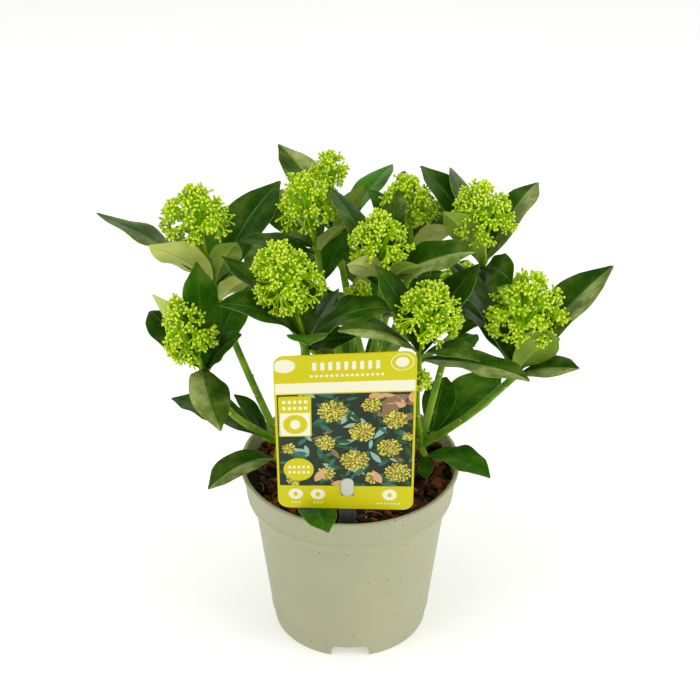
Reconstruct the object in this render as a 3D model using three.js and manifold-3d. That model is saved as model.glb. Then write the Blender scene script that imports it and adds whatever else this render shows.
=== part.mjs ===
// A potted Japanese skimmia: a dwarf evergreen shrub with domed heads of green flower buds, in a round
// nursery pot with a plant label on a plastic holder. Millimetres, +Z up, +X to the right and +Y away from
// the viewer, with the origin in the middle of the pot's flat underside. A bearing is in degrees from +X
// towards +Y, and a rise is in degrees above level.

import * as THREE from 'three';
import { mergeVertices } from 'three/addons/utils/BufferGeometryUtils.js';
import Module from 'manifold-3d';

const wasm = await Module();
wasm.setup();

// Gap kept between pieces that touch in the real plant
const GAP = 0.3;

// The pot
const POT_HEIGHT = 113.5;
const RIM_RADIUS = 65;
const BAND_RADIUS = 61.9;
const BAND_FOOT = 91.5;
const BAND_EDGE = 1.2;
const LIP_HEIGHT = 3;
const LIP_DEPTH = 1.1;
const EDGE_ROUND = 0.6;
const SHOULDER_RADIUS = 57.6;
const SHOULDER_DROP = 2.5;
const SHOULDER_REACH = 2.4;
const FOOT_RADIUS = 48.6;
const FOOT_STEP = 1.2;
const FOOT_DRAFT = 0.5;
const FOOT_HEIGHT = 9;
const POT_WALL = 1.5;
const POT_SIDES = 40;

// The three drainage channels under the pot, which show as notches in its foot
const CHANNEL_COUNT = 3;
const CHANNEL_TOP_WIDTH = 20;
const CHANNEL_FOOT_WIDTH = 24;
const CHANNEL_HEIGHT = 7.6;
const CHANNEL_START = 18;
const DRAIN_RADIUS = 3;
const DRAIN_PLACE = 34;
const DRAIN_SIDES = 8;

// The compost
const COMPOST_TOP = 103;
const COMPOST_RINGS = [0.86, 0.66, 0.45, 0.22];
const COMPOST_LUMP = 1.6;
const LUMP_ACROSS = 4.1;
const LUMP_AWAY = 5.3;
const COMPOST_LEVEL_RADIUS = 14;
const COMPOST_SIDES = 20;

// The label card and its holder, in the card's own frame: x across, y behind it and z up the card
const CARD_WIDTH = 76;
const CARD_HEIGHT = 112;
const CARD_THICKNESS = 0.8;
const CARD_CORNER = 6;
const CORNER_SEGMENTS = 4;
const CARD_FOOT = [-1.5, -54.5, 118];
const CARD_LEAN = 7;
const STICK_WIDTH = 9.4;
const STICK_DEPTH = 2.4;
const STICK_WEB = 1.2;
const STICK_LENGTH = 50;
const STICK_TOP = 42;
const HOOK_WIDTH = 7;
const HOOK_FOOT = 11;
const HOOK_TOP = 24;
const HOOK_THICKNESS = 1.2;
const HOOK_CORNER = 2.8;
const SLOT_HEIGHT = 2.4;

// Leaves: the half width is a share of the length, and the steps are where along it the outline turns
const LEAF_HALF_WIDTH = 0.205;
const LEAF_WIDEST = 0.56;
const LEAF_ROOT_POWER = 1.1;
const LEAF_TIP_POWER = 0.86;
const LEAF_THICKNESS = 1.1;
const LEAF_FOLD = 20;
const LEAF_ARCH = 30;
const LEAF_STEPS = [0.3, 0.6, 0.84];
const ROOT_STEP = 1.4;
const ROOTS_IN_TURN = 5;

// Limbs: the stems thicken towards their foot, and each mass starts with a twig that carries on from
// its stem
const STEM_SIDES = 5;
const LIMB_STEPS = 5;
const TWIG_STEPS = 2;
const TWIG_LENGTH = 26;
const STEM_FOOT_SHARE = 1.2;
const STEM_TIP_SHARE = 1.05;
const LOW_TWIG_RADII = [2.2, 1.8];

// The trunk, as shares of its height and radii, with a flare at its foot and shallow folds
const TRUNK_PROFILE = [[0, 9.5], [0.14, 7.4], [0.4, 6], [0.8, 5.4], [1, 4.6]];
const TRUNK_SIDES = 10;
const TRUNK_FOOT_FOLD = 0.16;
const TRUNK_FOLD = 0.06;

// Heads of buds, as shares of the head's half width and half height: a core, and bud twigs that stand
// out of it
const CORE_WIDE = 0.72;
const CORE_TALL = 0.74;
const BUD_TWIG_ROOT = 0.2;
const BUD_CLUSTER_PLACE = 0.84;
const BUD_TWIG_END = 1.02;
const BUD_CLUSTER_RADIUS = 4.4;
const FEWEST_BUD_TWIGS = 6;
const BUD_TWIGS_PER_MM = 0.5;
const BUD_TWIG_SHAKE = 0.4;
const BUD_TWIG_SHORTER = 0.1;
const DOME_DEPTH = 1.72;
const DOME_SWELL = 1.1;
const DOME_TAPER = 0.34;
const TAPER_START = -0.1;
const GOLDEN_ANGLE = 2.4;
const STALK_RADII = [1.6, 1.2];
const STALK_SIDES = 4;
const SIDE_HEAD_DOWN = 14;

// Corners nearer than this are one corner, and detail smaller than this is dropped
const MERGE = 1e-3;
const SMALLEST = 0.05;

const RAD = Math.PI / 180;
const at = (x, y, z) => new THREE.Vector3(x, y, z);

// The limbs fork low, behind the label: each fork is the tip of a bough
const TRUNK_FOOT = [0, 6, COMPOST_TOP + GAP];
const TRUNK_TOP = [1, 7, 121];
const forks = {
  left: { by: [-20, 8, 111], tip: [-42, 12, 117] },
  right: { by: [20, 7, 111], tip: [42, 8, 117] },
  middle: { by: [1, 6, 132], tip: [2, 4, 150] },
  back: { by: [6, 24, 120], tip: [12, 40, 140] },
};
const BOUGH_RADII = [5, 3.8];
const BOUGH_ROOT_SHARE = 0.6;
const LOW_ROOT_SHARE = 0.5;

// Each shoot rises from a fork by a bend to its whorl of leaves, and carries a head of buds above it. A leaf
// is its bearing, rise, length, roll about its midrib, arch and how far down the stem it grows. A head is its
// middle, half width and half height.
const shoots = [
  {
    name: 'far_left', fork: 'left', bend: [-66, 16, 182], whorl: [-78, 15, 226], stem: 1.95,
    head: { middle: [-86.5, 15, 267], wide: 20.6, tall: 20.6 },
    leaves: [[168, 28, 77, 17], [-142, 43, 57, 50], [-48, 59, 45, -37], [55, 34, 77, -5],
      [107, 39, 67, 19], [117, 9, 49, 14], [-44, 43, 40, -36, 30, 12]],
  },
  {
    name: 'low_left', fork: 'left', bend: [-68, -8, 151], whorl: [-82, -25, 193], stem: 1.8,
    head: { middle: [-90, -25, 217], wide: 16, tall: 25 },
    leaves: [[99, 73, 62, 26], [150, 50, 52, 70], [132, 20, 55, -10], [58, 40, 55, -4],
      [-29, 54, 42, 36], [-73, -17, 48, -15, 60]],
  },
  {
    name: 'front_left', fork: 'middle', bend: [-22, -14, 180], whorl: [-25, -30, 214], stem: 2.6,
    head: { middle: [-35, -30, 251.5], wide: 20, tall: 28 },
    leaves: [[148, 35, 67, 14], [-163, 35, 60, -10, 50], [-86, 31, 55, 0, 40], [-12, 31, 61, 12, 60],
      [60, 27, 42, -35], [100, 30, 55], [-25, 29, 36, 28, 30, 8]],
  },
  {
    name: 'top_left', fork: 'middle', bend: [-12, 18, 200], whorl: [-19, 20, 246], stem: 1.9,
    head: { middle: [-25, 20, 272], wide: 18, tall: 21.5 },
    leaves: [[122, 7, 61, -34], [129, -11, 40, -21], [55, 35, 43, -10, 30, 20], [-40, 49, 36, -16],
      [-169, 18, 49, 1], [100, 0, 42]],
  },
  {
    name: 'top_back', fork: 'back', bend: [0, 47, 190], whorl: [-8, 50, 240], stem: 1.9,
    head: { middle: [-12, 50, 278], wide: 13, tall: 14 },
    leaves: [[128, 32, 67, 7], [53, 24, 61, -18], [-19, 65, 40, -36], [102, 3, 47, 1]],
  },
  {
    name: 'front_middle', fork: 'middle', bend: [14, -3, 195], whorl: [18, -5, 239], stem: 1.9,
    head: { middle: [15, -5, 263], wide: 19, tall: 18.5 },
    leaves: [[130, 41, 63, 24], [76, 42, 56, -31], [-10, 27, 58, 17], [-53, 39, 45, -41],
      [130, 14, 36, 3], [-126, 37, 42, 62], [105, 12, 50]],
  },
  {
    name: 'top_right', fork: 'back', bend: [28, 40, 185], whorl: [36, 40, 230], stem: 1.9,
    head: { middle: [32.5, 40, 262], wide: 19, tall: 20 },
    leaves: [[-49, 43, 47, -46], [93, 32, 61, 40], [59, 9, 45, -21], [154, 56, 51, -3], [55, 20, 60]],
  },
  {
    name: 'far_right', fork: 'right', bend: [58, 16, 186], whorl: [76, 20, 237], stem: 1.8,
    head: { middle: [73, 20, 265.5], wide: 21, tall: 24 },
    leaves: [[129, 35, 69, 12], [109, 36, 65, 41], [52, 30, 65, -13], [-141, 56, 55, 52],
      [-73, 20, 51, 53], [75, 10, 54]],
  },
  {
    name: 'front_right', fork: 'right', bend: [38, -20, 168], whorl: [38, -40, 212], stem: 1.5,
    head: { middle: [42.5, -40, 236.5], wide: 21, tall: 21.5 },
    side: { middle: [39, -50, 201], wide: 7, tall: 9 },
    leaves: [[-152, 30, 60, -5, 45], [148, 59, 57, -6], [47, 38, 63, -10], [-44, 22, 48, 10, 60],
      [-28, 6, 66, -6, 20], [95, 20, 50]],
  },
  {
    name: 'low_right', fork: 'right', bend: [70, -4, 148], whorl: [95, -20, 187], stem: 2,
    head: { middle: [97, -20, 227.5], wide: 23, tall: 26 },
    leaves: [[139, 45, 79, 22], [143, 34, 61, 16, 60], [-47, 53, 49, -62], [-41, 28, 49, 13],
      [27, 42, 86, -9], [85, 35, 62], [60, 15, 58]],
  },
  {
    name: 'inner', fork: 'middle', bend: [2, 16, 172], whorl: [0, 25, 194], stem: 1.4,
    head: { middle: [6, 25, 212], wide: 9, tall: 9 },
    leaves: [[60, 30, 42], [150, 25, 44], [-115, 35, 40], [-30, 30, 40], [75, 25, 40]],
  },
  {
    name: 'back_left', fork: 'back', bend: [-22, 62, 150], whorl: [-42, 74, 168], stem: 1.9,
    head: { middle: [-40, 80, 197], wide: 18, tall: 19 },
    leaves: [[110, 20, 64], [150, 25, 62], [70, 25, 60], [30, 12, 44], [-60, 30, 44]],
  },
  {
    name: 'back_middle', fork: 'back', bend: [18, 72, 148], whorl: [24, 88, 166], stem: 1.9,
    head: { middle: [26, 95, 194], wide: 18, tall: 19 },
    leaves: [[90, 20, 64], [130, 25, 60], [50, 25, 60], [170, 10, 44], [15, 30, 50]],
  },
  {
    name: 'back_right', fork: 'back', bend: [40, 60, 142], whorl: [65, 70, 158], stem: 1.9,
    head: { middle: [68, 75, 187], wide: 18, tall: 19 },
    leaves: [[80, 20, 64], [40, 20, 62], [105, 25, 58], [0, 30, 50], [-70, 25, 44]],
  },
];

// Low leaves grow on short twigs of their own, from a fork or the trunk
const lowTwigs = [
  { name: 'low_leaves_left', from: 'left', end: [-44, -3, 114],
    leaves: [[-143, -1, 51, 0, 70]] },
  { name: 'low_leaves_far_left', from: 'left', end: [-52, 14, 119],
    leaves: [[154, 9, 66, 5, 20], [150, 48, 34]] },
  { name: 'low_leaves_right', from: 'right', end: [45, -5, 118],
    leaves: [[-37, 6, 48, 6, 60], [-92, -5, 22]] },
  { name: 'low_leaves_far_right', from: 'right', end: [51, 16, 121],
    leaves: [[43, 18, 62, 0, 10], [75, 28, 42]] },
  { name: 'low_leaves_front', from: 'trunk', end: [-27, -24, 110],
    leaves: [[-74, 6, 53, 0, 8]] },
  { name: 'low_leaves_back', from: 'back', end: [8, 60, 132],
    leaves: [[60, 5, 58, 0, 50], [120, 5, 58, 0, 50], [155, 28, 50]] },
];

// Colours
const POT_COLOUR = 0xb2b498;
const COMPOST_COLOUR = 0x3a2418;
const STEM_COLOUR = 0x5f8f22;
const TRUNK_COLOUR = 0x6b5a3a;
const LEAF_COLOUR = 0x2c5a1c;
const CARD_COLOUR = 0xcfc91c;
const HOLDER_COLOUR = 0x9a9c98;

// How rough each finish is
const POT_ROUGHNESS = 0.55;
const COMPOST_ROUGHNESS = 0.95;
const BARK_ROUGHNESS = 0.9;
const STEM_ROUGHNESS = 0.5;
const LEAF_ROUGHNESS = 0.4;
const CARD_ROUGHNESS = 0.35;
const HOLDER_ROUGHNESS = 0.3;

// The same numbers come out in every run: a small seeded generator
function seeded(seed) {
  let state = seed;
  return () => {
    state = (state + 0x6d2b79f5) | 0;
    let mixed = Math.imul(state ^ (state >>> 15), 1 | state);
    mixed = (mixed + Math.imul(mixed ^ (mixed >>> 7), 61 | mixed)) ^ mixed;
    return ((mixed ^ (mixed >>> 14)) >>> 0) / 4294967296;
  };
}

// A closed geometry as a solid, with shared corners merged and its slivers on the axis dropped
function solidOf(geometry) {
  geometry.deleteAttribute('normal');
  geometry.deleteAttribute('uv');
  const merged = mergeVertices(geometry, MERGE);
  const corners = merged.index.array;
  const kept = [];
  for (let i = 0; i < corners.length; i += 3) {
    const [a, b, c] = [corners[i], corners[i + 1], corners[i + 2]];
    if (a !== b && b !== c && c !== a) {
      kept.push(a, b, c);
    }
  }
  return new wasm.Manifold(new wasm.Mesh({
    numProp: 3,
    vertProperties: new Float32Array(merged.attributes.position.array),
    triVerts: new Uint32Array(kept),
  }));
}

// A closed skin over rings of points, with a fan over each end. A first or last ring may be a single point.
function skin(rings) {
  const points = [];
  const faces = [];
  const starts = rings.map((ring) => {
    const start = points.length / 3;
    ring.forEach((p) => points.push(p.x, p.y, p.z));
    return start;
  });
  const sides = rings[1].length;
  const last = rings.length - 1;
  for (let r = 0; r < last; r += 1) {
    const [low, high] = [starts[r], starts[r + 1]];
    for (let i = 0; i < sides; i += 1) {
      const next = (i + 1) % sides;
      if (rings[r].length > 1) {
        faces.push(low + i, low + next, rings[r + 1].length > 1 ? high + next : high);
      }
      if (rings[r + 1].length > 1) {
        faces.push(rings[r].length > 1 ? low + i : low, high + next, high + i);
      }
    }
  }
  for (let i = 1; i + 1 < sides; i += 1) {
    if (rings[0].length > 1) {
      faces.push(starts[0], starts[0] + i + 1, starts[0] + i);
    }
    if (rings[last].length > 1) {
      faces.push(starts[last], starts[last] + i, starts[last] + i + 1);
    }
  }
  const geometry = new THREE.BufferGeometry();
  geometry.setAttribute('position', new THREE.Float32BufferAttribute(points, 3));
  geometry.setIndex(faces);
  return solidOf(geometry);
}

// A ring of points round a place, square to the direction that it faces
function ringAt(middle, facing, across, radius, sides) {
  const up = facing.clone().cross(across).normalize();
  const ring = [];
  for (let i = 0; i < sides; i += 1) {
    const angle = (2 * Math.PI * i) / sides;
    ring.push(middle.clone()
      .addScaledVector(across, radius * Math.cos(angle))
      .addScaledVector(up, radius * Math.sin(angle)));
  }
  return ring;
}

// A direction square to the one given
function squareTo(facing) {
  const helper = Math.abs(facing.y) < 0.8 ? at(0, 1, 0) : at(1, 0, 0);
  return helper.cross(facing).normalize();
}

// One tapering limb along a stretch of a curve. Spare makes it thicker and longer, to cut room for it.
function limb(curve, [from, to], [footRadius, tipRadius], spare = 0, steps = LIMB_STEPS) {
  const rings = [];
  let across = squareTo(curve.getTangentAt(from));
  for (let i = 0; i <= steps; i += 1) {
    const share = i / steps;
    const t = THREE.MathUtils.lerp(from, to, share);
    const facing = curve.getTangentAt(t);
    across = across.clone().addScaledVector(facing, -across.dot(facing)).normalize();
    const middle = curve.getPointAt(t);
    if (i === 0) {
      middle.addScaledVector(facing, -spare);
    }
    if (i === steps) {
      middle.addScaledVector(facing, spare);
    }
    const radius = THREE.MathUtils.lerp(footRadius, tipRadius, share) + spare;
    rings.push(ringAt(middle, facing, across, radius, STEM_SIDES));
  }
  return skin(rings);
}

// The biggest body of a solid, without the scraps that a cut leaves or the hollows that joining seals
function mainBody(solid) {
  return solid.decompose().reduce((best, body) => (body.volume() > best.volume() ? body : best));
}

// What has been placed so far, so that later pieces can keep clear of it
const placed = [];

function place(owner, solid) {
  placed.push({ owner, solid, box: solid.boundingBox() });
}

function boxesMeet(a, b) {
  return [0, 1, 2].every((k) => a.min[k] <= b.max[k] && b.min[k] <= a.max[k]);
}

function isClear(owner, solid) {
  const box = solid.boundingBox();
  return placed.every((other) => other.owner === owner || !boxesMeet(box, other.box)
    || solid.intersect(other.solid).isEmpty());
}

function geometryOf(solid) {
  const mesh = solid.getMesh();
  const geometry = new THREE.BufferGeometry();
  const positions = new THREE.Float32BufferAttribute(mesh.vertProperties, mesh.numProp);
  geometry.setAttribute('position', positions);
  geometry.setIndex(Array.from(mesh.triVerts));
  return geometry;
}

const plant = new THREE.Group();

// One named mesh. Merging its close corners can pinch off a scrap, so its main body is taken again.
function addNode(name, solid, colour, roughness) {
  const settled = mainBody(solidOf(geometryOf(mainBody(solid.simplify(SMALLEST)))));
  const geometry = geometryOf(settled);
  geometry.computeVertexNormals();
  const look = { color: colour, roughness, metalness: 0, flatShading: true };
  const material = new THREE.MeshStandardMaterial(look);
  const node = new THREE.Mesh(geometry, material);
  node.name = name;
  plant.add(node);
}

// A turned shape: its profile runs from the axis and back to it, as radius and height
function turnedGeometry(profile, sides) {
  const lathe = new THREE.LatheGeometry(profile.map(([r, z]) => new THREE.Vector2(r, z)), sides);
  lathe.rotateX(Math.PI / 2);
  return lathe;
}

function turned(profile, sides) {
  return solidOf(turnedGeometry(profile, sides));
}

// A block whose cross-section is cut square to X and which runs out along +X
function runOut(section, from, to) {
  const shape = new THREE.Shape(section.map(([across, up]) => new THREE.Vector2(across, up)));
  const block = new THREE.ExtrudeGeometry(shape, { depth: to - from, bevelEnabled: false });
  block.rotateX(Math.PI / 2);
  block.rotateZ(Math.PI / 2);
  block.translate(from, 0, 0);
  return block;
}

// The outside of the pot, from the middle of its underside to the middle of its mouth
function potOutside() {
  const shoulderFoot = BAND_FOOT - SHOULDER_DROP;
  const lipFoot = POT_HEIGHT - LIP_HEIGHT;
  return [
    [0, 0],
    [FOOT_RADIUS - FOOT_STEP - FOOT_DRAFT, 0],
    [FOOT_RADIUS - FOOT_STEP, FOOT_HEIGHT],
    [FOOT_RADIUS, FOOT_HEIGHT + EDGE_ROUND],
    [SHOULDER_RADIUS, shoulderFoot],
    [SHOULDER_RADIUS + SHOULDER_REACH, shoulderFoot + EDGE_ROUND],
    [BAND_RADIUS, BAND_FOOT + BAND_EDGE],
    [RIM_RADIUS - LIP_DEPTH, lipFoot - EDGE_ROUND],
    [RIM_RADIUS, lipFoot],
    [RIM_RADIUS, POT_HEIGHT - EDGE_ROUND],
    [RIM_RADIUS - EDGE_ROUND, POT_HEIGHT],
    [0, POT_HEIGHT],
  ];
}

// The space inside the pot, or what fills it where spare leaves a gap to the wall
function potInside(spare, top) {
  const inset = POT_WALL + spare;
  const bandTurn = BAND_FOOT + BAND_EDGE;
  const mouthRadius = RIM_RADIUS - EDGE_ROUND;
  const topRadius = THREE.MathUtils.mapLinear(top, bandTurn, POT_HEIGHT, BAND_RADIUS, mouthRadius);
  return [
    [0, inset],
    [FOOT_RADIUS - FOOT_STEP - FOOT_DRAFT - inset, inset],
    [FOOT_RADIUS - FOOT_STEP - inset, FOOT_HEIGHT + EDGE_ROUND],
    [SHOULDER_RADIUS - inset, BAND_FOOT - POT_WALL],
    [BAND_RADIUS - inset, bandTurn],
    [topRadius - inset, top],
    [0, top],
  ];
}

// The turn of each drainage channel round the pot, the first towards the viewer
function channelTurn(i) {
  return -Math.PI / 2 + (2 * Math.PI * i) / CHANNEL_COUNT;
}

// The drainage channels, or their room inside the pot where spare is their own floor over them
function channels(spare) {
  const top = CHANNEL_HEIGHT + spare;
  const halfTop = CHANNEL_TOP_WIDTH / 2 + spare;
  const halfFoot = CHANNEL_FOOT_WIDTH / 2 + spare;
  const section = [[-halfFoot, -1], [halfFoot, -1], [halfTop, top], [-halfTop, top]];
  const blocks = [];
  for (let i = 0; i < CHANNEL_COUNT; i += 1) {
    const block = runOut(section, CHANNEL_START - spare, RIM_RADIUS);
    block.rotateZ(channelTurn(i));
    blocks.push(solidOf(block));
  }
  return wasm.Manifold.union(blocks);
}

function drains() {
  const holes = [];
  for (let i = 0; i < CHANNEL_COUNT; i += 1) {
    const hole = new THREE.CylinderGeometry(DRAIN_RADIUS, DRAIN_RADIUS, 4 * POT_WALL, DRAIN_SIDES);
    hole.rotateX(Math.PI / 2);
    hole.translate(DRAIN_PLACE, 0, CHANNEL_HEIGHT + POT_WALL / 2);
    hole.rotateZ(channelTurn(i));
    holes.push(solidOf(hole));
  }
  return wasm.Manifold.union(holes);
}

function makePot() {
  const cavity = turned(potInside(0, POT_HEIGHT + POT_WALL), POT_SIDES).subtract(channels(POT_WALL));
  return turned(potOutside(), POT_SIDES).subtract(channels(0)).subtract(cavity).subtract(drains());
}

// The compost fills the pot to below its rim, lumpy on top but level round the trunk and along its edge
function makeCompost() {
  const profile = potInside(GAP, COMPOST_TOP);
  const edge = profile[profile.length - 2][0];
  profile.splice(profile.length - 1, 0, ...COMPOST_RINGS.map((share) => [edge * share, COMPOST_TOP]));
  const lathe = turnedGeometry(profile, COMPOST_SIDES);
  const points = lathe.attributes.position;
  for (let i = 0; i < points.count; i += 1) {
    const [x, y, z] = [points.getX(i), points.getY(i), points.getZ(i)];
    const fromMiddle = Math.hypot(x, y);
    if (z > COMPOST_TOP - GAP && fromMiddle > COMPOST_LEVEL_RADIUS && fromMiddle < edge - 1) {
      points.setZ(i, z + COMPOST_LUMP * Math.sin(x / LUMP_ACROSS + 1) * Math.cos(y / LUMP_AWAY));
    }
  }
  return solidOf(lathe).subtract(channels(POT_WALL + GAP));
}

// The card's own frame stands on its foot and leans towards the viewer
const cardFrame = new THREE.Matrix4()
  .makeTranslation(...CARD_FOOT)
  .multiply(new THREE.Matrix4().makeRotationX(CARD_LEAN * RAD));

// A flat piece lying in the card's plane: an outline of x and z, between two distances behind the card
function cardPiece(shape, front, back) {
  const depth = back - front;
  const settings = { depth, bevelEnabled: false, curveSegments: CORNER_SEGMENTS };
  const plate = new THREE.ExtrudeGeometry(shape, settings);
  plate.rotateX(Math.PI / 2);
  plate.translate(0, back, 0);
  plate.applyMatrix4(cardFrame);
  return solidOf(plate);
}

function roundedRectangle(left, foot, width, height, corner) {
  const shape = new THREE.Shape();
  const [right, top] = [left + width, foot + height];
  shape.moveTo(left + corner, foot);
  shape.lineTo(right - corner, foot);
  shape.absarc(right - corner, foot + corner, corner, -Math.PI / 2, 0, false);
  shape.lineTo(right, top - corner);
  shape.absarc(right - corner, top - corner, corner, 0, Math.PI / 2, false);
  shape.lineTo(left + corner, top);
  shape.absarc(left + corner, top - corner, corner, Math.PI / 2, Math.PI, false);
  shape.lineTo(left, foot + corner);
  shape.absarc(left + corner, foot + corner, corner, Math.PI, 1.5 * Math.PI, false);
  return shape;
}

function rectangle(left, foot, width, height) {
  return new THREE.Shape([
    new THREE.Vector2(left, foot),
    new THREE.Vector2(left + width, foot),
    new THREE.Vector2(left + width, foot + height),
    new THREE.Vector2(left, foot + height),
  ]);
}

function makeCard() {
  const half = CARD_THICKNESS / 2;
  const outline = roundedRectangle(-CARD_WIDTH / 2, 0, CARD_WIDTH, CARD_HEIGHT, CARD_CORNER);
  const slotWidth = HOOK_WIDTH + 2 * GAP;
  const slot = rectangle(-slotWidth / 2, HOOK_FOOT - GAP, slotWidth, SLOT_HEIGHT + 2 * GAP);
  return cardPiece(outline, -half, half).subtract(cardPiece(slot, -CARD_THICKNESS, CARD_THICKNESS));
}

// The holder is an H-shaped stick behind the card, with a hook that comes through the card's slot
function makeHolder() {
  const face = CARD_THICKNESS / 2 + GAP;
  const foot = -STICK_LENGTH;
  const tall = STICK_LENGTH + STICK_TOP;
  const web = rectangle(-STICK_WIDTH / 2, foot, STICK_WIDTH, tall);
  const webFront = face + (STICK_DEPTH - STICK_WEB) / 2;
  const rails = [-1, 0, 1].map((side) => {
    const left = (side * (STICK_WIDTH - STICK_WEB) - STICK_WEB) / 2;
    return cardPiece(rectangle(left, foot, STICK_WEB, tall), face, face + STICK_DEPTH);
  });
  const neck = rectangle(-HOOK_WIDTH / 2, HOOK_FOOT, HOOK_WIDTH, SLOT_HEIGHT);
  const tongue = HOOK_TOP - HOOK_FOOT;
  const hook = roundedRectangle(-HOOK_WIDTH / 2, HOOK_FOOT, HOOK_WIDTH, tongue, HOOK_CORNER);
  return wasm.Manifold.union([
    cardPiece(web, webFront, webFront + STICK_WEB),
    ...rails,
    cardPiece(neck, -face - HOOK_THICKNESS / 2, webFront + STICK_WEB / 2),
    cardPiece(hook, -face - HOOK_THICKNESS, -face),
  ]);
}

// A leaf's half width at a share of its length, as a share of its greatest: full past the middle, then
// pointed
function bladeShape(t) {
  const shape = (share) => share ** LEAF_ROOT_POWER * (1 - share) ** LEAF_TIP_POWER;
  return shape(t) / shape(LEAF_WIDEST);
}

// A leaf springs from its root and arches over along its length, folded a little along its midrib and rolled
// about it
function leaf(root, bearing, rise, length, roll, arch, spare = 0) {
  const [toward, start] = [bearing * RAD, (rise + arch / 2) * RAD];
  const bend = Math.max(arch, 1) * RAD;
  const side = at(-Math.sin(toward), Math.cos(toward), 0);
  const midrib = (t) => {
    const turnedTo = start - bend * t;
    const out = (length * (Math.sin(start) - Math.sin(turnedTo))) / bend;
    const up = (length * (Math.cos(turnedTo) - Math.cos(start))) / bend;
    return at(root.x + out * Math.cos(toward), root.y + out * Math.sin(toward), root.z + up);
  };
  const rings = LEAF_STEPS.map((t) => {
    const turnedTo = start - bend * t;
    const back = Math.sin(turnedTo);
    const normal = at(-Math.cos(toward) * back, -Math.sin(toward) * back, Math.cos(turnedTo));
    const half = bladeShape(t) * LEAF_HALF_WIDTH * length + spare;
    const thick = LEAF_THICKNESS / 2 + spare;
    const [c, s] = [Math.cos(roll * RAD), Math.sin(roll * RAD)];
    const beside = side.clone().multiplyScalar(c).addScaledVector(normal, s);
    const above = normal.clone().multiplyScalar(c).addScaledVector(side, -s);
    const edge = (sign) => midrib(t)
      .addScaledVector(beside, sign * half * Math.cos(LEAF_FOLD * RAD))
      .addScaledVector(above, half * Math.sin(LEAF_FOLD * RAD));
    const top = midrib(t).addScaledVector(above, thick);
    const under = midrib(t).addScaledVector(above, -thick);
    return [top, edge(-1), under, edge(1)];
  });
  return skin([[midrib(0)], ...rings, [midrib(1)]]);
}

// A head of buds: a stalk, a core where the buds are densest, and short twigs that end in buds, on a spiral
function headPieces(whorl, head, random) {
  const middle = at(...head.middle);
  const axis = middle.clone().sub(whorl).normalize();
  const across = squareTo(axis);
  const up = axis.clone().cross(across);
  const core = new THREE.IcosahedronGeometry(1, 0);
  core.scale(CORE_WIDE * head.wide, CORE_WIDE * head.wide, CORE_TALL * head.tall);
  core.applyMatrix4(new THREE.Matrix4().makeBasis(across, up, axis).setPosition(middle));
  const stalk = skin([
    ringAt(whorl.clone().addScaledVector(axis, -STALK_RADII[0]), axis, across, STALK_RADII[0], STALK_SIDES),
    ringAt(middle, axis, across, STALK_RADII[1], STALK_SIDES),
  ]);
  const pieces = [solidOf(core), stalk];
  const twigs = Math.round(FEWEST_BUD_TWIGS + head.wide * BUD_TWIGS_PER_MM);
  for (let i = 0; i < twigs; i += 1) {
    const lift = 1 - (DOME_DEPTH * (i + 0.5)) / twigs;
    const round = i * GOLDEN_ANGLE + BUD_TWIG_SHAKE * random();
    const swell = DOME_SWELL - DOME_TAPER * Math.max(lift - TAPER_START, 0);
    const flat = Math.sqrt(1 - lift * lift) * swell * head.wide;
    const outward = across.clone().multiplyScalar(flat * Math.cos(round))
      .addScaledVector(up, flat * Math.sin(round))
      .addScaledVector(axis, lift * head.tall);
    const reach = 1 - BUD_TWIG_SHORTER * random();
    const facing = outward.clone().normalize();
    const beside = squareTo(facing);
    const spot = (share) => middle.clone().addScaledVector(outward, share * reach);
    const cluster = ringAt(spot(BUD_CLUSTER_PLACE), facing, beside, BUD_CLUSTER_RADIUS, 3);
    pieces.push(skin([[spot(BUD_TWIG_ROOT)], cluster, [spot(BUD_TWIG_END)]]));
  }
  return pieces;
}

// Turns and lifts in degrees, and then shares of its length, that a leaf tries in order
const NUDGES = [[0, 0], [5, 0], [-5, 0], [0, 6], [0, -6], [10, 0], [-10, 0], [5, 6], [-5, 6], [10, 8],
  [-10, 8], [15, 0], [-15, 0], [0, 12], [0, -12], [20, 5], [-20, 5]];
const SHORTER = [1, 0.88, 0.76];

// A leaf that touches another mass or a limb is turned a little or made shorter, or else left out
function fitLeaf(owner, root, bearing, rise, length, roll, arch) {
  for (const share of SHORTER) {
    for (const [turn, lift] of NUDGES) {
      const tried = [root, bearing + turn, rise + lift, length * share, roll, arch];
      if (isClear(owner, leaf(...tried, GAP))) {
        return leaf(...tried);
      }
    }
  }
  return null;
}

// The compost has a slot for the holder's stick
function makePlantedCompost() {
  const room = cardPiece(
    rectangle(-STICK_WIDTH / 2 - GAP, -STICK_LENGTH - GAP, STICK_WIDTH + 2 * GAP, STICK_LENGTH),
    CARD_THICKNESS / 2,
    CARD_THICKNESS / 2 + STICK_DEPTH + 2 * GAP,
  );
  return makeCompost().subtract(room);
}

for (const [name, solid, colour, roughness] of [
  ['pot', makePot(), POT_COLOUR, POT_ROUGHNESS],
  ['compost', makePlantedCompost(), COMPOST_COLOUR, COMPOST_ROUGHNESS],
  ['label_card', makeCard(), CARD_COLOUR, CARD_ROUGHNESS],
  ['label_holder', makeHolder(), HOLDER_COLOUR, HOLDER_ROUGHNESS],
]) {
  place(name, solid);
  addNode(name, solid, colour, roughness);
}

// The trunk is a short stub with a flare at its foot
const trunkCurve = new THREE.LineCurve3(at(...TRUNK_FOOT), at(...TRUNK_TOP));

function makeTrunk(spare) {
  return skin(TRUNK_PROFILE.map(([t, radius], step) => {
    const middle = trunkCurve.getPointAt(t);
    const ring = ringAt(middle, at(0, 0, 1), at(1, 0, 0), radius + spare, TRUNK_SIDES);
    const fold = step === 0 ? TRUNK_FOOT_FOLD : TRUNK_FOLD;
    return ring.map((p, i) => p.lerp(middle, i % 2 ? fold : 0));
  }));
}

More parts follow.
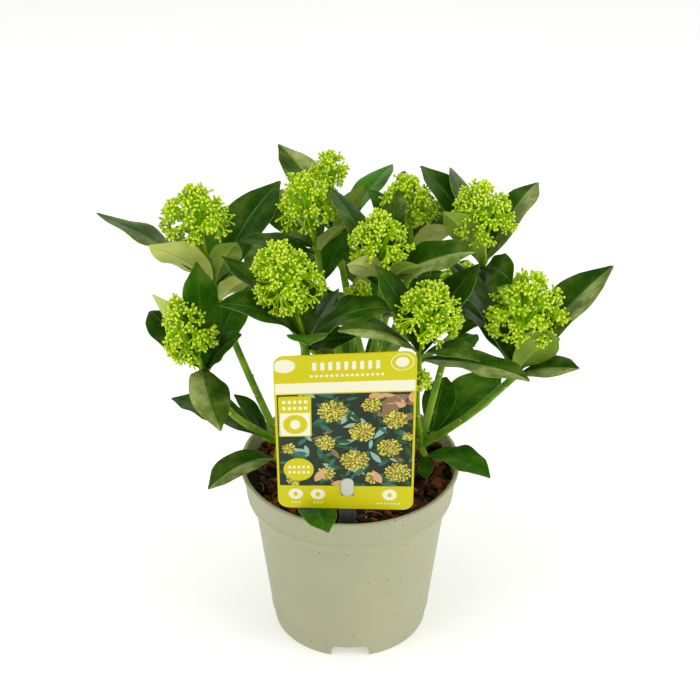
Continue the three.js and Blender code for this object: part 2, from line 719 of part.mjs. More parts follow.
const trunk = makeTrunk(0);
place('trunk', trunk);
addNode('trunk', trunk, TRUNK_COLOUR, BARK_ROUGHNESS);

// Room for the limbs that are there already, cut from each that comes after
const limbRooms = [makeTrunk(GAP)];

// A limb or a low twig, with room cut for the limbs that are there already
function seated(curve, stretch, radii, steps) {
  const solid = limbRooms.reduce((rest, room) => rest.subtract(room), limb(curve, stretch, radii, 0, steps));
  limbRooms.push(limb(curve, stretch, radii, GAP, steps));
  return mainBody(solid);
}

// Boughs leave the trunk and end at the forks
const boughRoot = at(...TRUNK_FOOT).lerp(at(...TRUNK_TOP), BOUGH_ROOT_SHARE);
for (const [name, fork] of Object.entries(forks)) {
  const curve = new THREE.CatmullRomCurve3([boughRoot, at(...fork.by), at(...fork.tip)]);
  const bough = seated(curve, [0, 1], BOUGH_RADII);
  place(`bough_${name}`, bough);
  addNode(`bough_${name}`, bough, TRUNK_COLOUR, BARK_ROUGHNESS);
}

// Stems rise from the forks, and each ends where the twig of its mass begins
for (const shoot of shoots) {
  const corners = [forks[shoot.fork].tip, shoot.bend, shoot.whorl];
  const curve = new THREE.CatmullRomCurve3(corners.map((corner) => at(...corner)));
  const length = curve.getLength();
  shoot.curve = curve;
  shoot.twigStart = 1 - TWIG_LENGTH / length;
  const stemEnd = shoot.twigStart - GAP / length;
  const stem = seated(curve, [0, stemEnd], [shoot.stem * STEM_FOOT_SHARE, shoot.stem * STEM_TIP_SHARE]);
  place(`stem_${shoot.name}`, stem);
  addNode(`stem_${shoot.name}`, stem, STEM_COLOUR, STEM_ROUGHNESS);
}

// The twig and head of each shoot come first, so that leaves keep clear of every head
const masses = [];
shoots.forEach((shoot, index) => {
  const random = seeded(100 + index);
  const owner = `foliage_${shoot.name}`;
  const radii = [shoot.stem * STEM_TIP_SHARE, shoot.stem];
  const twig = limb(shoot.curve, [shoot.twigStart, 1], radii, 0, TWIG_STEPS);
  const rootAt = (down) => shoot.curve.getPointAt(1 - down / shoot.curve.getLength());
  const pieces = [twig, ...headPieces(at(...shoot.whorl), shoot.head, random)];
  if (shoot.side) {
    pieces.push(...headPieces(rootAt(SIDE_HEAD_DOWN), shoot.side, random));
  }
  pieces.forEach((piece) => place(owner, piece));
  masses.push({ owner, pieces, rootAt, leaves: shoot.leaves });
});

for (const low of lowTwigs) {
  const lowRoot = at(...TRUNK_FOOT).lerp(at(...TRUNK_TOP), LOW_ROOT_SHARE);
  const start = low.from === 'trunk' ? lowRoot : at(...forks[low.from].tip);
  const curve = new THREE.LineCurve3(start, at(...low.end));
  const twig = seated(curve, [0, 1], LOW_TWIG_RADII, TWIG_STEPS);
  place(low.name, twig);
  const rootAt = (down) => at(...low.end).lerp(start, down / curve.getLength());
  masses.push({ owner: low.name, pieces: [twig], rootAt, leaves: low.leaves });
}

// Leaves, shoot by shoot
for (const mass of masses) {
  mass.leaves.forEach(([bearing, rise, length, roll = 0, arch = LEAF_ARCH, down = 0], i) => {
    const root = mass.rootAt(down + 1 + ROOT_STEP * (i % ROOTS_IN_TURN));
    const solid = fitLeaf(mass.owner, root, bearing, rise, length, roll, arch);
    if (solid) {
      mass.pieces.push(solid);
      place(mass.owner, solid);
    }
  });
  addNode(mass.owner, mainBody(wasm.Manifold.union(mass.pieces)), LEAF_COLOUR, LEAF_ROUGHNESS);
}

export default plant;
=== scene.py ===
import math
import random

import bmesh
import bpy
import numpy as np
from mathutils import Matrix, Vector


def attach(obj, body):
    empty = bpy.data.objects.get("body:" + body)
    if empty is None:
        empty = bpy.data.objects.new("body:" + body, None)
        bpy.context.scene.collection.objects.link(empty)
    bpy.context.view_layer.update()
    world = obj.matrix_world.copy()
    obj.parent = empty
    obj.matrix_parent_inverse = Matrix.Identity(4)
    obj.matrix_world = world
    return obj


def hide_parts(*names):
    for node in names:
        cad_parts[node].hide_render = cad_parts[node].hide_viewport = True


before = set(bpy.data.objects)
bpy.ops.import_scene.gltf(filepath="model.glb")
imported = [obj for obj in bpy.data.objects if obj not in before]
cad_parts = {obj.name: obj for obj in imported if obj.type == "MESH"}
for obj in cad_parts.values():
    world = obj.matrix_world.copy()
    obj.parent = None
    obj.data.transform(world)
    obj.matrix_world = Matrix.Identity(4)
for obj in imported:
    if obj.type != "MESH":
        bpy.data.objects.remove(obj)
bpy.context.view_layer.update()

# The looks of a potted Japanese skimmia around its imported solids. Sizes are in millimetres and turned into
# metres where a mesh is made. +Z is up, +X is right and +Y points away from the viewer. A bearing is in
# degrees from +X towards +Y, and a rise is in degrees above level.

MM = 0.001

# The camera: its place, how far it looks down in degrees, its lens and its sensor
CAMERA_PLACE = (0, -824.7, 699.5)
CAMERA_PITCH = 31.74
CAMERA_LENS = 87.4
SENSOR_WIDTH = 36

# The lights, in metres and watts: name, place, width, power and whether they show in reflections
LIGHTS = (
    ("key_light", (-1.1, -0.7, 1.4), 1.2, 9, True),
    ("fill_light", (1.3, -0.6, 0.9), 1.2, 10, True),
    ("top_light", (0.0, 0.35, 1.8), 1.6, 12, False),
)
LIGHTS_MEET = (0, 0, 0.17)

# The pot
POT_HEIGHT = 113.5
RIM_RADIUS = 65
BAND_RADIUS = 61.9
BAND_FOOT = 91.5
SHOULDER_RADIUS = 57.6
FOOT_RADIUS = 48.6
FOOT_STEP = 1.2
FOOT_HEIGHT = 9
POT_WALL = 1.5
POT_SIDES = 192
CHANNEL_COUNT = 3
CHANNEL_TOP_WIDTH = 20
CHANNEL_FOOT_WIDTH = 24
CHANNEL_HEIGHT = 7.6
CHANNEL_START = 18

# The compost
COMPOST_TOP = 103
GAP = 0.3
CHIPS_RADIUS = RIM_RADIUS - 5
CHIP_COUNT = 1150
GRIT_COUNT = 70
ROOT_COUNT = 80

# The label card and its holder, in the card's own frame: x across, y behind it and z up the card
CARD_WIDTH = 76
CARD_HEIGHT = 112
CARD_THICKNESS = 0.8
CARD_CORNER = 6
CARD_FOOT = (-1.5, -54.5, 118)
CARD_LEAN = 7
CARD_TWIST = 2
CARD_SKEW = 0.03
CARD_SHIFT = 0.9
STICK_WIDTH = 9.4
STICK_DEPTH = 2.4
STICK_WEB = 1.2
STICK_LENGTH = 50
STICK_TOP = 42
HOOK_WIDTH = 7
HOOK_FOOT = 11
HOOK_TOP = 24
HOOK_THICKNESS = 1.2
HOOK_CORNER = 3.2
SLOT_HEIGHT = 2.4

# The card's printed design: the left, foot, width and height of all of it and of its picture, the x, z and
# radius of the flower discs, and the kinds of print
PRINTED = (-37.4, 0, 74.8, CARD_HEIGHT)
PICTURE = (-36.7, 17.6, 73.4, 67.6)
PRINT_DEPTH = 0.03
DISC_SHARE = 0.94
FLOWERS = ((-7, 73, 7.6), (14, 77, 5), (27, 66, 6.2), (9, 58, 6.8), (-11, 50, 5.2), (24, 46, 6.4),
           (5, 37, 7.6), (-11, 27, 4.6), (29, 28, 7), (15, 24, 4.2), (-31, 46, 3.8), (-29, 21, 3.4),
           (34, 54, 3))
LIME, CREAM, DARK, TEAL, LEAF, GLINT, FLOWER, DOT, OCHRE, WARM, EARTH = range(11)

# The limbs
STEM_FOOT_SHARE = 1.2
STEM_SIDES = 14
STEM_ROWS = 30
TWIG_RADII = (2.2, 1.7)
KNOB_SWELL = 0.55
KNOB_LENGTH = 4.0
TRUNK_FOOT = (0, 6, COMPOST_TOP + GAP)
TRUNK_TOP = (1, 7, 121)
FORKS = {
    "left": ((-20, 8, 111), (-42, 12, 117)),
    "right": ((20, 7, 111), (42, 8, 117)),
    "middle": ((1, 6, 132), (2, 4, 150)),
    "back": ((6, 24, 120), (12, 40, 140)),
}
BOUGH_RADII = (5, 3.8)

# Leaves: widths and thicknesses are halved, and widths are shares of the half width or of the length
LEAF_HALF_WIDTH = 0.205
LEAF_WIDEST = 0.56
LEAF_ARCH = 30
STALK_END = 0.3
STALK_WIDTH = 0.075
CURL_FROM = 0.78
BLADE_THICKNESS = 0.34
EDGE_THINNING = 0.18
TIP_THICKNESS = 0.02
GROOVE_WIDTH = 0.02
GROOVE_DEPTH = 0.16
RIDGE_WIDTH = 0.1
RIDGE_DEPTH = 0.55
RIDGE_FADE = 0.4
MARGIN_FROM = 0.96
MIDRIB_WIDTH = 0.03
UNDER_RIB_WIDTH = 0.08
ROOT_STEP = 1.4
ROOTS_IN_TURN = 5
SIDE_VEINS = 9

# The colours of a leaf's upper side, those of its underside, and how often an upper one comes. One kind is a
# pale painted sheen, a painted reflection laid over one half of a leaf, and the share after it is how often a
# leaf gets it at random
DEEP, GREEN, GREY_GREEN, YOUNG, PAINTED_SHEEN, MIDRIB, MARGIN, OLIVE, GREY, PALE_GREEN, UNDER_RIB = range(11)
UPPER = (DEEP, GREEN, GREY_GREEN, YOUNG)
UPPER_SHARES = (6, 5, 3, 1)
UNDER = (OLIVE, GREY, PALE_GREEN)
PAINTED_SHEEN_SHARE = 0.16

# Heads of buds, of a size that is the mean of the half width and half height
GOLDEN_ANGLE = 2.4
USUAL_SIZE = 20
HEAD_BRANCHES = 16
HEAD_TUFTS = 110
HEAD_FULLNESS = {"top_left": 0.66, "top_back": 0.62, "low_left": 0.84, "front_right": 0.9}
BRANCH_DEPTH = 1.6
TUFT_DEPTH = 1.72
SPIRAL_SHAKE = 0.3
TUFT_REACH = 3.2
TUFT_PULL = 0.32
INNER_EVERY = 5
INNER_SHARES = (0.6, 0.78)
OUTER_SHARES = (0.88, 1.03)
AXIS_RADII = (1.6, 0.7)
BRANCH_RADII = (0.95, 0.66)
FORK_RADII = (0.58, 0.44)
PEDICEL_RADII = (0.44, 0.55)
PEDICEL_LENGTHS = (1.9, 3.4)
BUDS_IN_TUFT = (4, 5, 5, 6, 7)
BUD_SIZES = (0.66, 0.9)
BUD_STRETCH = 1.2
SIDE_HEAD_DOWN = 14

# The limits between the joined pieces: the back from a y, and the right from an x
SIDES = ("left", "right", "back")
BACK_FROM = 38
RIGHT_FROM = 5

# Each shoot is its fork, bend, whorl, stem radius and heads. A head is its middle, half width and half
# height, and a leaf is its bearing, rise, length, roll about its midrib, arch and how far down the stem
# it grows.
SHOOTS = {
    "far_left": ("left", (-66, 16, 182), (-78, 15, 226), 1.95, [((-86.5, 15, 267), 20.6, 20.6)],
                 [(168, 28, 77, 17), (-142, 43, 57, 50), (-48, 59, 45, -37), (55, 34, 77, -5),
                  (107, 39, 67, 19), (117, 9, 49, 14), (-44, 43, 40, -36, 30, 12)]),
    "low_left": ("left", (-68, -8, 151), (-82, -25, 193), 1.8, [((-90, -25, 217), 16, 25)],
                 [(99, 73, 62, 26), (150, 50, 52, 70), (132, 20, 55, -10), (58, 40, 55, -4),
                  (-29, 54, 42, 36), (-73, -17, 48, -15, 60)]),
    "front_left": ("middle", (-22, -14, 180), (-25, -30, 214), 2.6, [((-35, -30, 251.5), 20, 28)],
                   [(148, 35, 67, 14), (-163, 35, 60, -10, 50), (-86, 31, 55, 0, 40), (-12, 31, 61, 12, 60),
                    (60, 27, 42, -35), (100, 30, 55), (-25, 29, 36, 28, 30, 8)]),
    "top_left": ("middle", (-12, 18, 200), (-19, 20, 246), 1.9, [((-25, 20, 272), 18, 21.5)],
                 [(122, 7, 61, -34), (129, -11, 40, -21), (55, 35, 43, -10, 30, 20), (-40, 49, 36, -16),
                  (-169, 18, 49, 1), (100, 0, 42)]),
    "top_back": ("back", (0, 47, 190), (-8, 50, 240), 1.9, [((-12, 50, 278), 13, 14)],
                 [(128, 32, 67, 7), (53, 24, 61, -18), (-19, 65, 40, -36), (102, 3, 47, 1)]),
    "front_middle": ("middle", (14, -3, 195), (18, -5, 239), 1.9, [((15, -5, 263), 19, 18.5)],
                     [(130, 41, 63, 24), (76, 42, 56, -31), (-10, 27, 58, 17), (-53, 39, 45, -41),
                      (130, 14, 36, 3), (-126, 37, 42, 62), (105, 12, 50)]),
    "top_right": ("back", (28, 40, 185), (36, 40, 230), 1.9, [((32.5, 40, 262), 19, 20)],
                  [(-49, 43, 47, -46), (93, 32, 61, 40), (59, 9, 45, -21), (154, 56, 51, -3),
                   (55, 20, 60)]),
    "far_right": ("right", (58, 16, 186), (76, 20, 237), 1.8, [((73, 20, 265.5), 21, 24)],
                  [(129, 35, 69, 12), (109, 36, 65, 41), (52, 30, 65, -13), (-141, 56, 55, 52),
                   (-73, 20, 51, 53), (75, 10, 54)]),
    "front_right": ("right", (38, -20, 168), (38, -40, 212), 1.5,
                    [((42.5, -40, 236.5), 21, 21.5), ((39, -50, 201), 7, 9)],
                    [(-152, 30, 60, -5, 45), (148, 59, 57, -6), (47, 38, 63, -10), (-44, 22, 48, 10, 60),
                     (-28, 6, 66, -6, 20), (95, 20, 50)]),
    "low_right": ("right", (70, -4, 148), (95, -20, 187), 2, [((97, -20, 227.5), 23, 26)],
                  [(139, 45, 79, 22), (143, 34, 61, 16, 60), (-47, 53, 49, -62), (-41, 28, 49, 13),
                   (27, 42, 86, -9), (85, 35, 62), (60, 15, 58)]),
    "inner": ("middle", (2, 16, 172), (0, 25, 194), 1.4, [((6, 25, 212), 9, 9)],
              [(60, 30, 42), (150, 25, 44), (-115, 35, 40), (-30, 30, 40), (75, 25, 40)]),
    "back_left": ("back", (-22, 62, 150), (-42, 74, 168), 1.9, [((-40, 80, 197), 18, 19)],
                  [(110, 20, 64), (150, 25, 62), (70, 25, 60), (30, 12, 44), (-60, 30, 44)]),
    "back_middle": ("back", (18, 72, 148), (24, 88, 166), 1.9, [((26, 95, 194), 18, 19)],
                    [(90, 20, 64), (130, 25, 60), (50, 25, 60), (170, 10, 44), (15, 30, 50)]),
    "back_right": ("back", (40, 60, 142), (65, 70, 158), 1.9, [((68, 75, 187), 18, 19)],
                   [(80, 20, 64), (40, 20, 62), (105, 25, 58), (0, 30, 50), (-70, 25, 44)]),
}

# Low leaves grow on short twigs of their own, from a fork or the trunk
LOW_TWIGS = {
    "low_leaves_left": ("left", (-44, -3, 114), [(-143, -1, 51, 0, 70)]),
    "low_leaves_far_left": ("left", (-52, 14, 119), [(154, 9, 66, 5, 20), (150, 48, 34)]),
    "low_leaves_right": ("right", (45, -5, 118), [(-37, 6, 48, 6, 60), (-92, -5, 22)]),
    "low_leaves_far_right": ("right", (51, 16, 121), [(43, 18, 62, 0, 10), (75, 28, 42)]),
    "low_leaves_front": ("trunk", (-27, -24, 110), [(-74, 6, 53, 0, 8)]),
    "low_leaves_back": ("back", (8, 60, 132), [(60, 5, 58, 0, 50), (120, 5, 58, 0, 50), (155, 28, 50)]),
}

# What is particular to some leaves that show well, by their shoot and place in its list: sway is a sideways
# bend and curl a bend down near the tip, in degrees, tint and under are the colours of the leaf's two sides,
# the key for the painted sheen tells which half of a tinted leaf gets that pale painted reflection, 1 for the
# left as seen from its root, and width is a share of the usual width
LEAF_TRAITS = {
    "far_left": {0: {"curl": -14, "tint": GREY_GREEN}, 1: {"under": OLIVE},
                 3: {"sway": -12, "tint": DEEP, "width": 1.08}},
    "low_left": {0: {"sway": -4, "tint": GREEN}, 2: {"sway": -20, "tint": DEEP},
                 3: {"tint": GREEN, "width": 1.1},
                 5: {"sway": 30, "tint": GREY_GREEN, "painted_sheen": -1, "width": 1.25}},
    "front_left": {0: {"tint": DEEP, "width": 0.9}, 1: {"tint": DEEP}, 2: {"tint": GREEN},
                   3: {"tint": DEEP, "width": 1.08}},
    "top_left": {2: {"sway": -10, "tint": GREEN, "width": 1.2}, 3: {"tint": YOUNG}},
    "top_back": {0: {"tint": GREY_GREEN, "painted_sheen": -1}, 1: {"tint": YOUNG}},
    "front_middle": {0: {"tint": DEEP}, 1: {"tint": GREY_GREEN},
                     2: {"tint": DEEP, "painted_sheen": -1, "width": 1.14},
                     3: {"under": PALE_GREEN, "width": 0.74}, 5: {"under": GREY, "width": 0.9}},
    "top_right": {0: {"under": GREY, "width": 0.8}, 1: {"tint": GREY_GREEN}},
    "far_right": {1: {"tint": GREY_GREEN}, 2: {"tint": DEEP, "painted_sheen": -1},
                  3: {"under": PALE_GREEN, "width": 0.8},
                  4: {"tint": DEEP}},
    "front_right": {0: {"tint": GREY_GREEN, "painted_sheen": 1}, 1: {"tint": DEEP, "width": 0.85}, 2: {"tint": DEEP},
                    3: {"tint": GREY_GREEN, "width": 0.74}, 4: {"tint": DEEP, "painted_sheen": -1}},
    "low_right": {0: {"tint": DEEP}, 1: {"tint": GREEN}, 2: {"under": PALE_GREEN, "width": 1.08},
                  3: {"tint": DEEP, "painted_sheen": -1}, 4: {"sway": 6, "curl": 4, "tint": DEEP, "painted_sheen": -1}},
    "low_leaves_front": {0: {"tint": GREEN}},
    "low_leaves_left": {0: {"tint": DEEP, "painted_sheen": 1, "width": 1.16}},
    "low_leaves_right": {0: {"tint": GREEN, "width": 1.1}},
    "low_leaves_far_right": {0: {"tint": GREEN, "width": 1.22}, 1: {"tint": DEEP, "width": 1.2}},
}


def vec(*place):
    return np.array(place, float)


def unit(v):
    return v / np.linalg.norm(v)


def srgb(red, green, blue):
    """A colour given from 0 to 255, as a linear colour."""
    shares = [c / 255 for c in (red, green, blue)]
    return tuple(s / 12.92 if s <= 0.04045 else ((s + 0.055) / 1.055) ** 2.4 for s in shares) + (1.0,)


def grey(level):
    return (level, level, level, 1)


# Materials, whose colours are given from 0 to 255

def material(name, colour, roughness, specular):
    """A new material, with its node tree, its shader and the shader's constant values."""
    made = bpy.data.materials.new(name)
    made.use_nodes = True
    shader = made.node_tree.nodes["Principled BSDF"]
    shader.inputs["Base Color"].default_value = srgb(*colour)
    shader.inputs["Roughness"].default_value = roughness
    shader.inputs["Specular IOR Level"].default_value = specular
    return made, made.node_tree, shader


def node(tree, kind, **values):
    """A node, with its settings and the values of its named inputs."""
    made = tree.nodes.new(kind)
    for key, value in values.items():
        if key in made.inputs:
            made.inputs[key].default_value = value
        else:
            setattr(made, key, value)
    return made


def object_noise(tree, scale, detail, rough=0.5):
    """Noise through the object's own space, at a scale in bumps per metre."""
    place = node(tree, "ShaderNodeTexCoord")
    noise = node(tree, "ShaderNodeTexNoise", Scale=scale, Detail=detail, Roughness=rough)
    tree.links.new(place.outputs["Object"], noise.inputs["Vector"])
    return noise.outputs["Fac"]


def ramp(tree, source, stops):
    """A colour ramp over a value, from pairs of a place and a linear colour."""
    made = node(tree, "ShaderNodeValToRGB")
    elements = made.color_ramp.elements
    while len(elements) < len(stops):
        elements.new(0.5)
    for element, (place, colour) in zip(elements, stops):
        element.position = place
        element.color = colour
    tree.links.new(source, made.inputs["Fac"])
    return made.outputs["Color"]


def scaled(tree, source, factor, added=None):
    """A value times a factor, with another value added."""
    made = node(tree, "ShaderNodeMath", operation="MULTIPLY" if added is None else "MULTIPLY_ADD")
    tree.links.new(source, made.inputs[0])
    made.inputs[1].default_value = factor
    if added is not None:
        tree.links.new(added, made.inputs[2])
    return made.outputs["Value"]


def blended(tree, factor, plain, other):
    """A colour that turns into a constant one where the factor is high."""
    made = node(tree, "ShaderNodeMix", data_type="RGBA")
    tree.links.new(factor, made.inputs["Factor"])
    tree.links.new(plain, made.inputs["A"])
    made.inputs["B"].default_value = other
    return made.outputs["Result"]


def uneven_gloss(tree, shader, source, low, high):
    """Roughness that follows a value from low to high."""
    made = node(tree, "ShaderNodeMapRange", **{"To Min": low, "To Max": high})
    tree.links.new(source, made.inputs["Value"])
    tree.links.new(made.outputs["Result"], shader.inputs["Roughness"])


def bumps(tree, shader, source, strength, distance):
    """Relief on the shader's surface, its distance in millimetres."""
    made = node(tree, "ShaderNodeBump", Strength=strength, Distance=distance * MM)
    tree.links.new(source, made.inputs["Height"])
    tree.links.new(made.outputs["Normal"], shader.inputs["Normal"])


def mottled(name, colours, scale, roughness, rough_span=0.08, bump=0.1, bump_scale=900, specular=0.5):
    """A surface whose colour wanders between a few colours, with a fine grain in its relief and gloss."""
    made, tree, shader = material(name, colours[0], roughness, specular)
    patches = object_noise(tree, scale, 4.0)
    stops = list(zip(np.linspace(0.34, 0.66, len(colours)), (srgb(*c) for c in colours)))
    tree.links.new(ramp(tree, patches, stops), shader.inputs["Base Color"])
    bumps(tree, shader, object_noise(tree, bump_scale, 2.0), 0.6, bump)
    uneven_gloss(tree, shader, patches, roughness - rough_span, roughness + rough_span)
    return made


def plastic(name, colours, roughness):
    return mottled(name, colours, 12, roughness, 0.04, 0.02, 1600, 0.2)


def specked(name, colours, speck, roughness):
    """Moulded plastic with a few fine dark specks of dirt."""
    made = mottled(name, colours, 14, roughness, 0.05, 0.03, 1500, 0.3)
    tree = made.node_tree
    shader = tree.nodes["Principled BSDF"]
    plain = shader.inputs["Base Color"].links[0].from_socket
    place = node(tree, "ShaderNodeTexCoord")
    cells = node(tree, "ShaderNodeTexVoronoi", Scale=130)
    tree.links.new(place.outputs["Object"], cells.inputs["Vector"])
    dirt = ramp(tree, cells.outputs["Distance"], [(0.05, grey(1)), (0.075, grey(0))])
    tree.links.new(blended(tree, dirt, plain, srgb(*speck)), shader.inputs["Base Color"])
    return made


def leaf_upper(name, dark, light, painted_sheen, vein, sheen_from=0.58):
    """The glossy upper side of a leaf: dark green, with faint side veins and patches of painted sheen."""
    made, tree, shader = material(name, dark, 0.32, 0.12)
    shader.inputs["Specular Tint"].default_value = (0.9, 1, 0.5, 1)
    # Where the noise runs high the blade turns pale: painted sheen, in patches and fine specks
    patches = object_noise(tree, 62, 5.0, 0.64)
    speckled = scaled(tree, object_noise(tree, 1500, 2.0), 0.16, patches)
    blade = ramp(tree, speckled, [(sheen_from + shift, srgb(*c))
                                  for shift, c in ((-0.16, dark), (0, light), (0.16, painted_sheen))])
    along = node(tree, "ShaderNodeAttribute", attribute_name="along").outputs["Fac"]
    across = node(tree, "ShaderNodeAttribute", attribute_name="across").outputs["Fac"]
    sine = node(tree, "ShaderNodeMath", operation="SINE")
    tree.links.new(scaled(tree, scaled(tree, across, -0.16, along), 2 * math.pi * SIDE_VEINS), sine.inputs[0])
    wave = sine.outputs["Value"]
    veins = ramp(tree, wave, [(0.9, grey(0)), (1.0, grey(0.35))])
    tree.links.new(blended(tree, veins, blade, srgb(*vein)), shader.inputs["Base Color"])
    bumps(tree, shader, scaled(tree, object_noise(tree, 420, 3.0), 0.35, wave), 0.18, 0.22)
    uneven_gloss(tree, shader, patches, 0.28, 0.5)
    return made


# Joined meshes

class Joined:
    """One joined piece: its points, its three- and four-sided faces, and the kind of each face."""

    def __init__(self):
        self.points = []
        self.values = []
        self.faces = {3: [], 4: []}
        self.kinds = {3: [], 4: []}
        self.count = 0

    def add(self, points, faces, kind=0, values=None):
        """New points, with faces on them."""
        self.points.append(points)
        self.values.append(np.zeros((len(points), 2)) if values is None else values)
        self.count += len(points)
        self.more_faces(faces, kind)

    def more_faces(self, faces, kind=0):
        """Faces on the points that were added last. A kind is one number, or one for each face."""
        faces = np.asarray(faces, int)
        corners = faces.shape[1]
        self.faces[corners].append(faces + self.count - len(self.points[-1]))
        self.kinds[corners].append(np.full(len(faces), kind) if np.isscalar(kind) else np.asarray(kind))

    def make(self, name, materials, smooth=True):
        used = [corners for corners in (3, 4) if self.faces[corners]]
        faces = sum((np.concatenate(self.faces[corners]).tolist() for corners in used), [])
        kinds = np.concatenate(sum((self.kinds[corners] for corners in used), []))
        mesh = bpy.data.meshes.new(name)
        mesh.from_pydata((np.concatenate(self.points) * MM).tolist(), [], faces)
        piece = placed(name, mesh, materials, smooth)
        mesh.polygons.foreach_set("material_index", kinds.astype(np.int32))
        values = np.concatenate(self.values)
        if values.any():
            for index, key in enumerate(("along", "across")):
                data = mesh.attributes.new(key, "FLOAT", "POINT").data
                data.foreach_set("value", np.ascontiguousarray(values[:, index], np.float32))
        mesh.update()
        return piece


def placed(name, mesh, materials, smooth):
    """A new object in the scene, with its mesh's materials and shading."""
    for m in materials:
        mesh.materials.append(m)
    mesh.polygons.foreach_set("use_smooth", np.full(len(mesh.polygons), smooth))
    piece = bpy.data.objects.new(name, mesh)
    bpy.context.scene.collection.objects.link(piece)
    return piece


def dress(piece, slot, *nodes):
    """Makes a piece ride on the part's root, and hides the part's nodes that it stands for. The slot is not
    used.
    """
    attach(piece, "root")
    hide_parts(*nodes)


def grid_quads(rows, columns, closed):
    """The quads of a grid of points, given row after row. Closed rows run round to their start."""
    row = np.arange(rows - 1)[:, None] * columns
    column = np.arange(columns if closed else columns - 1)
    a, b = row + column, row + (column + 1) % columns
    return np.stack([a, b, b + columns, a + columns], axis=-1).reshape(-1, 4)


def fan(middle, ring):
    """Triangles from a middle point to each side of a closed ring."""
    return np.stack([np.full(len(ring), middle), ring, np.roll(ring, -1)], axis=-1)


# Curves and limbs

def smooth_curve(corners, steps=40):
    """Many points on a centripetal curve through the corners."""
    points = [vec(*c) for c in corners]
    points = [2 * points[0] - points[1], *points, 2 * points[-1] - points[-2]]
    curve = []
    for a, b, c, d in zip(points, points[1:], points[2:], points[3:]):
        first, second, third = (np.linalg.norm(q - p) ** 0.5 for p, q in ((a, b), (b, c), (c, d)))
        leaving = ((b - a) / first - (c - a) / (first + second) + (c - b) / second) * second
        arriving = ((c - b) / second - (d - b) / (second + third) + (d - c) / third) * second
        t = np.linspace(0, 1, steps, endpoint=False)[:, None]
        curve.append(b + leaving * t + (3 * (c - b) - 2 * leaving - arriving) * t ** 2
                     + (2 * (b - c) + leaving + arriving) * t ** 3)
    return np.concatenate([*curve, points[-2][None]])


def length_of(curve):
    return np.linalg.norm(np.diff(curve, axis=0), axis=1).sum()


def on_curve(curve, shares):
    """Points at these shares of a curve's length."""
    steps = np.linalg.norm(np.diff(curve, axis=0), axis=1)
    far = np.concatenate([[0], np.cumsum(steps)]) / steps.sum()
    return np.stack([np.interp(shares, far, curve[:, k]) for k in range(3)], axis=-1)


def frames_along(path):
    """The direction of a path at each point, and two directions square to it that don't twist."""
    facing = np.gradient(path, axis=0)
    facing /= np.linalg.norm(facing, axis=1)[:, None]
    helper = vec(0, 1, 0) if abs(facing[0][1]) < 0.8 else vec(1, 0, 0)
    across = [unit(np.cross(helper, facing[0]))]
    for f in facing[1:]:
        across.append(unit(across[-1] - f * np.dot(across[-1], f)))
    across = np.array(across)
    return facing, across, np.cross(facing, across)


def tube(piece, path, radii, sides, kind=0, fold=0.0, folds=5, relief=0.0):
    """A closed tube along a path. Fold makes its section wavy, and relief stands out of it."""
    _, across, up = frames_along(path)
    angle = 2 * np.pi * np.arange(sides) / sides
    radius = np.asarray(radii, float)[:, None] * (1 + fold * np.cos(folds * angle))[None, :] + relief
    rings = (path[:, None, :] + across[:, None, :] * (radius * np.cos(angle))[:, :, None]
             + up[:, None, :] * (radius * np.sin(angle))[:, :, None])
    rows = len(path)
    points = np.concatenate([rings.reshape(-1, 3), path[:1], path[-1:]])
    piece.add(points, grid_quads(rows, sides, True), kind)
    ring = np.arange(sides)
    foot, tip = rows * sides, rows * sides + 1
    piece.more_faces(fan(foot, ring)[:, [0, 2, 1]], kind)
    piece.more_faces(fan(tip, foot - sides + ring), kind)


# A bud of unit size, whose points and faces each bud and leaf scar copies: a small egg with its tip up +Z

def bud_shape():
    sides = 5
    rings = [(0.72, -0.6), (1.0, 0.1), (0.62, 0.78)]
    points = [(0, 0, -1)]
    for k, (radius, height) in enumerate(rings):
        for i in range(sides):
            angle = 2 * math.pi * (i + 0.5 * (k % 2)) / sides
            points.append((radius * math.cos(angle), radius * math.sin(angle), height))
    points.append((0, 0, 1))
    faces = []
    for i in range(sides):
        j = (i + 1) % sides
        faces.append((0, 1 + j, 1 + i))
        for k in range(len(rings) - 1):
            low, high = 1 + k * sides, 1 + (k + 1) * sides
            if k % 2:
                faces += [(low + i, low + j, high + j), (low + i, high + j, high + i)]
            else:
                faces += [(low + i, low + j, high + i), (low + j, high + j, high + i)]
        last = 1 + (len(rings) - 1) * sides
        faces.append((last + i, last + j, len(points) - 1))
    return np.array(points), np.array(faces)


BUD_POINTS, BUD_FACES = bud_shape()
BUD_LEVELS = BUD_POINTS[BUD_FACES].mean(axis=1)[:, 2]
# Kind 1 is the cup at a bud's foot, and kind 2, the faces round its tip, carries a painted highlight
BUD_KINDS = np.where(BUD_LEVELS < -0.3, 1, np.where(BUD_LEVELS > 0.7, 2, 0))


def square_frames(facing):
    """For each direction, two directions square to it."""
    helper = np.where(np.abs(facing[:, 1:2]) < 0.8, [[0.0, 1.0, 0.0]], [[1.0, 0.0, 0.0]])
    across = np.cross(helper, facing)
    across /= np.linalg.norm(across, axis=1)[:, None]
    return across, np.cross(facing, across)


def add_balls(piece, middles, facing, wide, tall, kinds):
    """Many balls at once, each stretched along its direction."""
    across, up = square_frames(facing)
    axes = (across * wide[:, None], up * wide[:, None], facing * tall[:, None])
    points = middles[:, None, :] + np.einsum("ibk,pi->bpk", np.stack(axes), BUD_POINTS)
    count = len(middles)
    faces = BUD_FACES[None] + (np.arange(count) * len(BUD_POINTS))[:, None, None]
    piece.add(points.reshape(-1, 3), faces.reshape(-1, 3), np.tile(kinds, count))


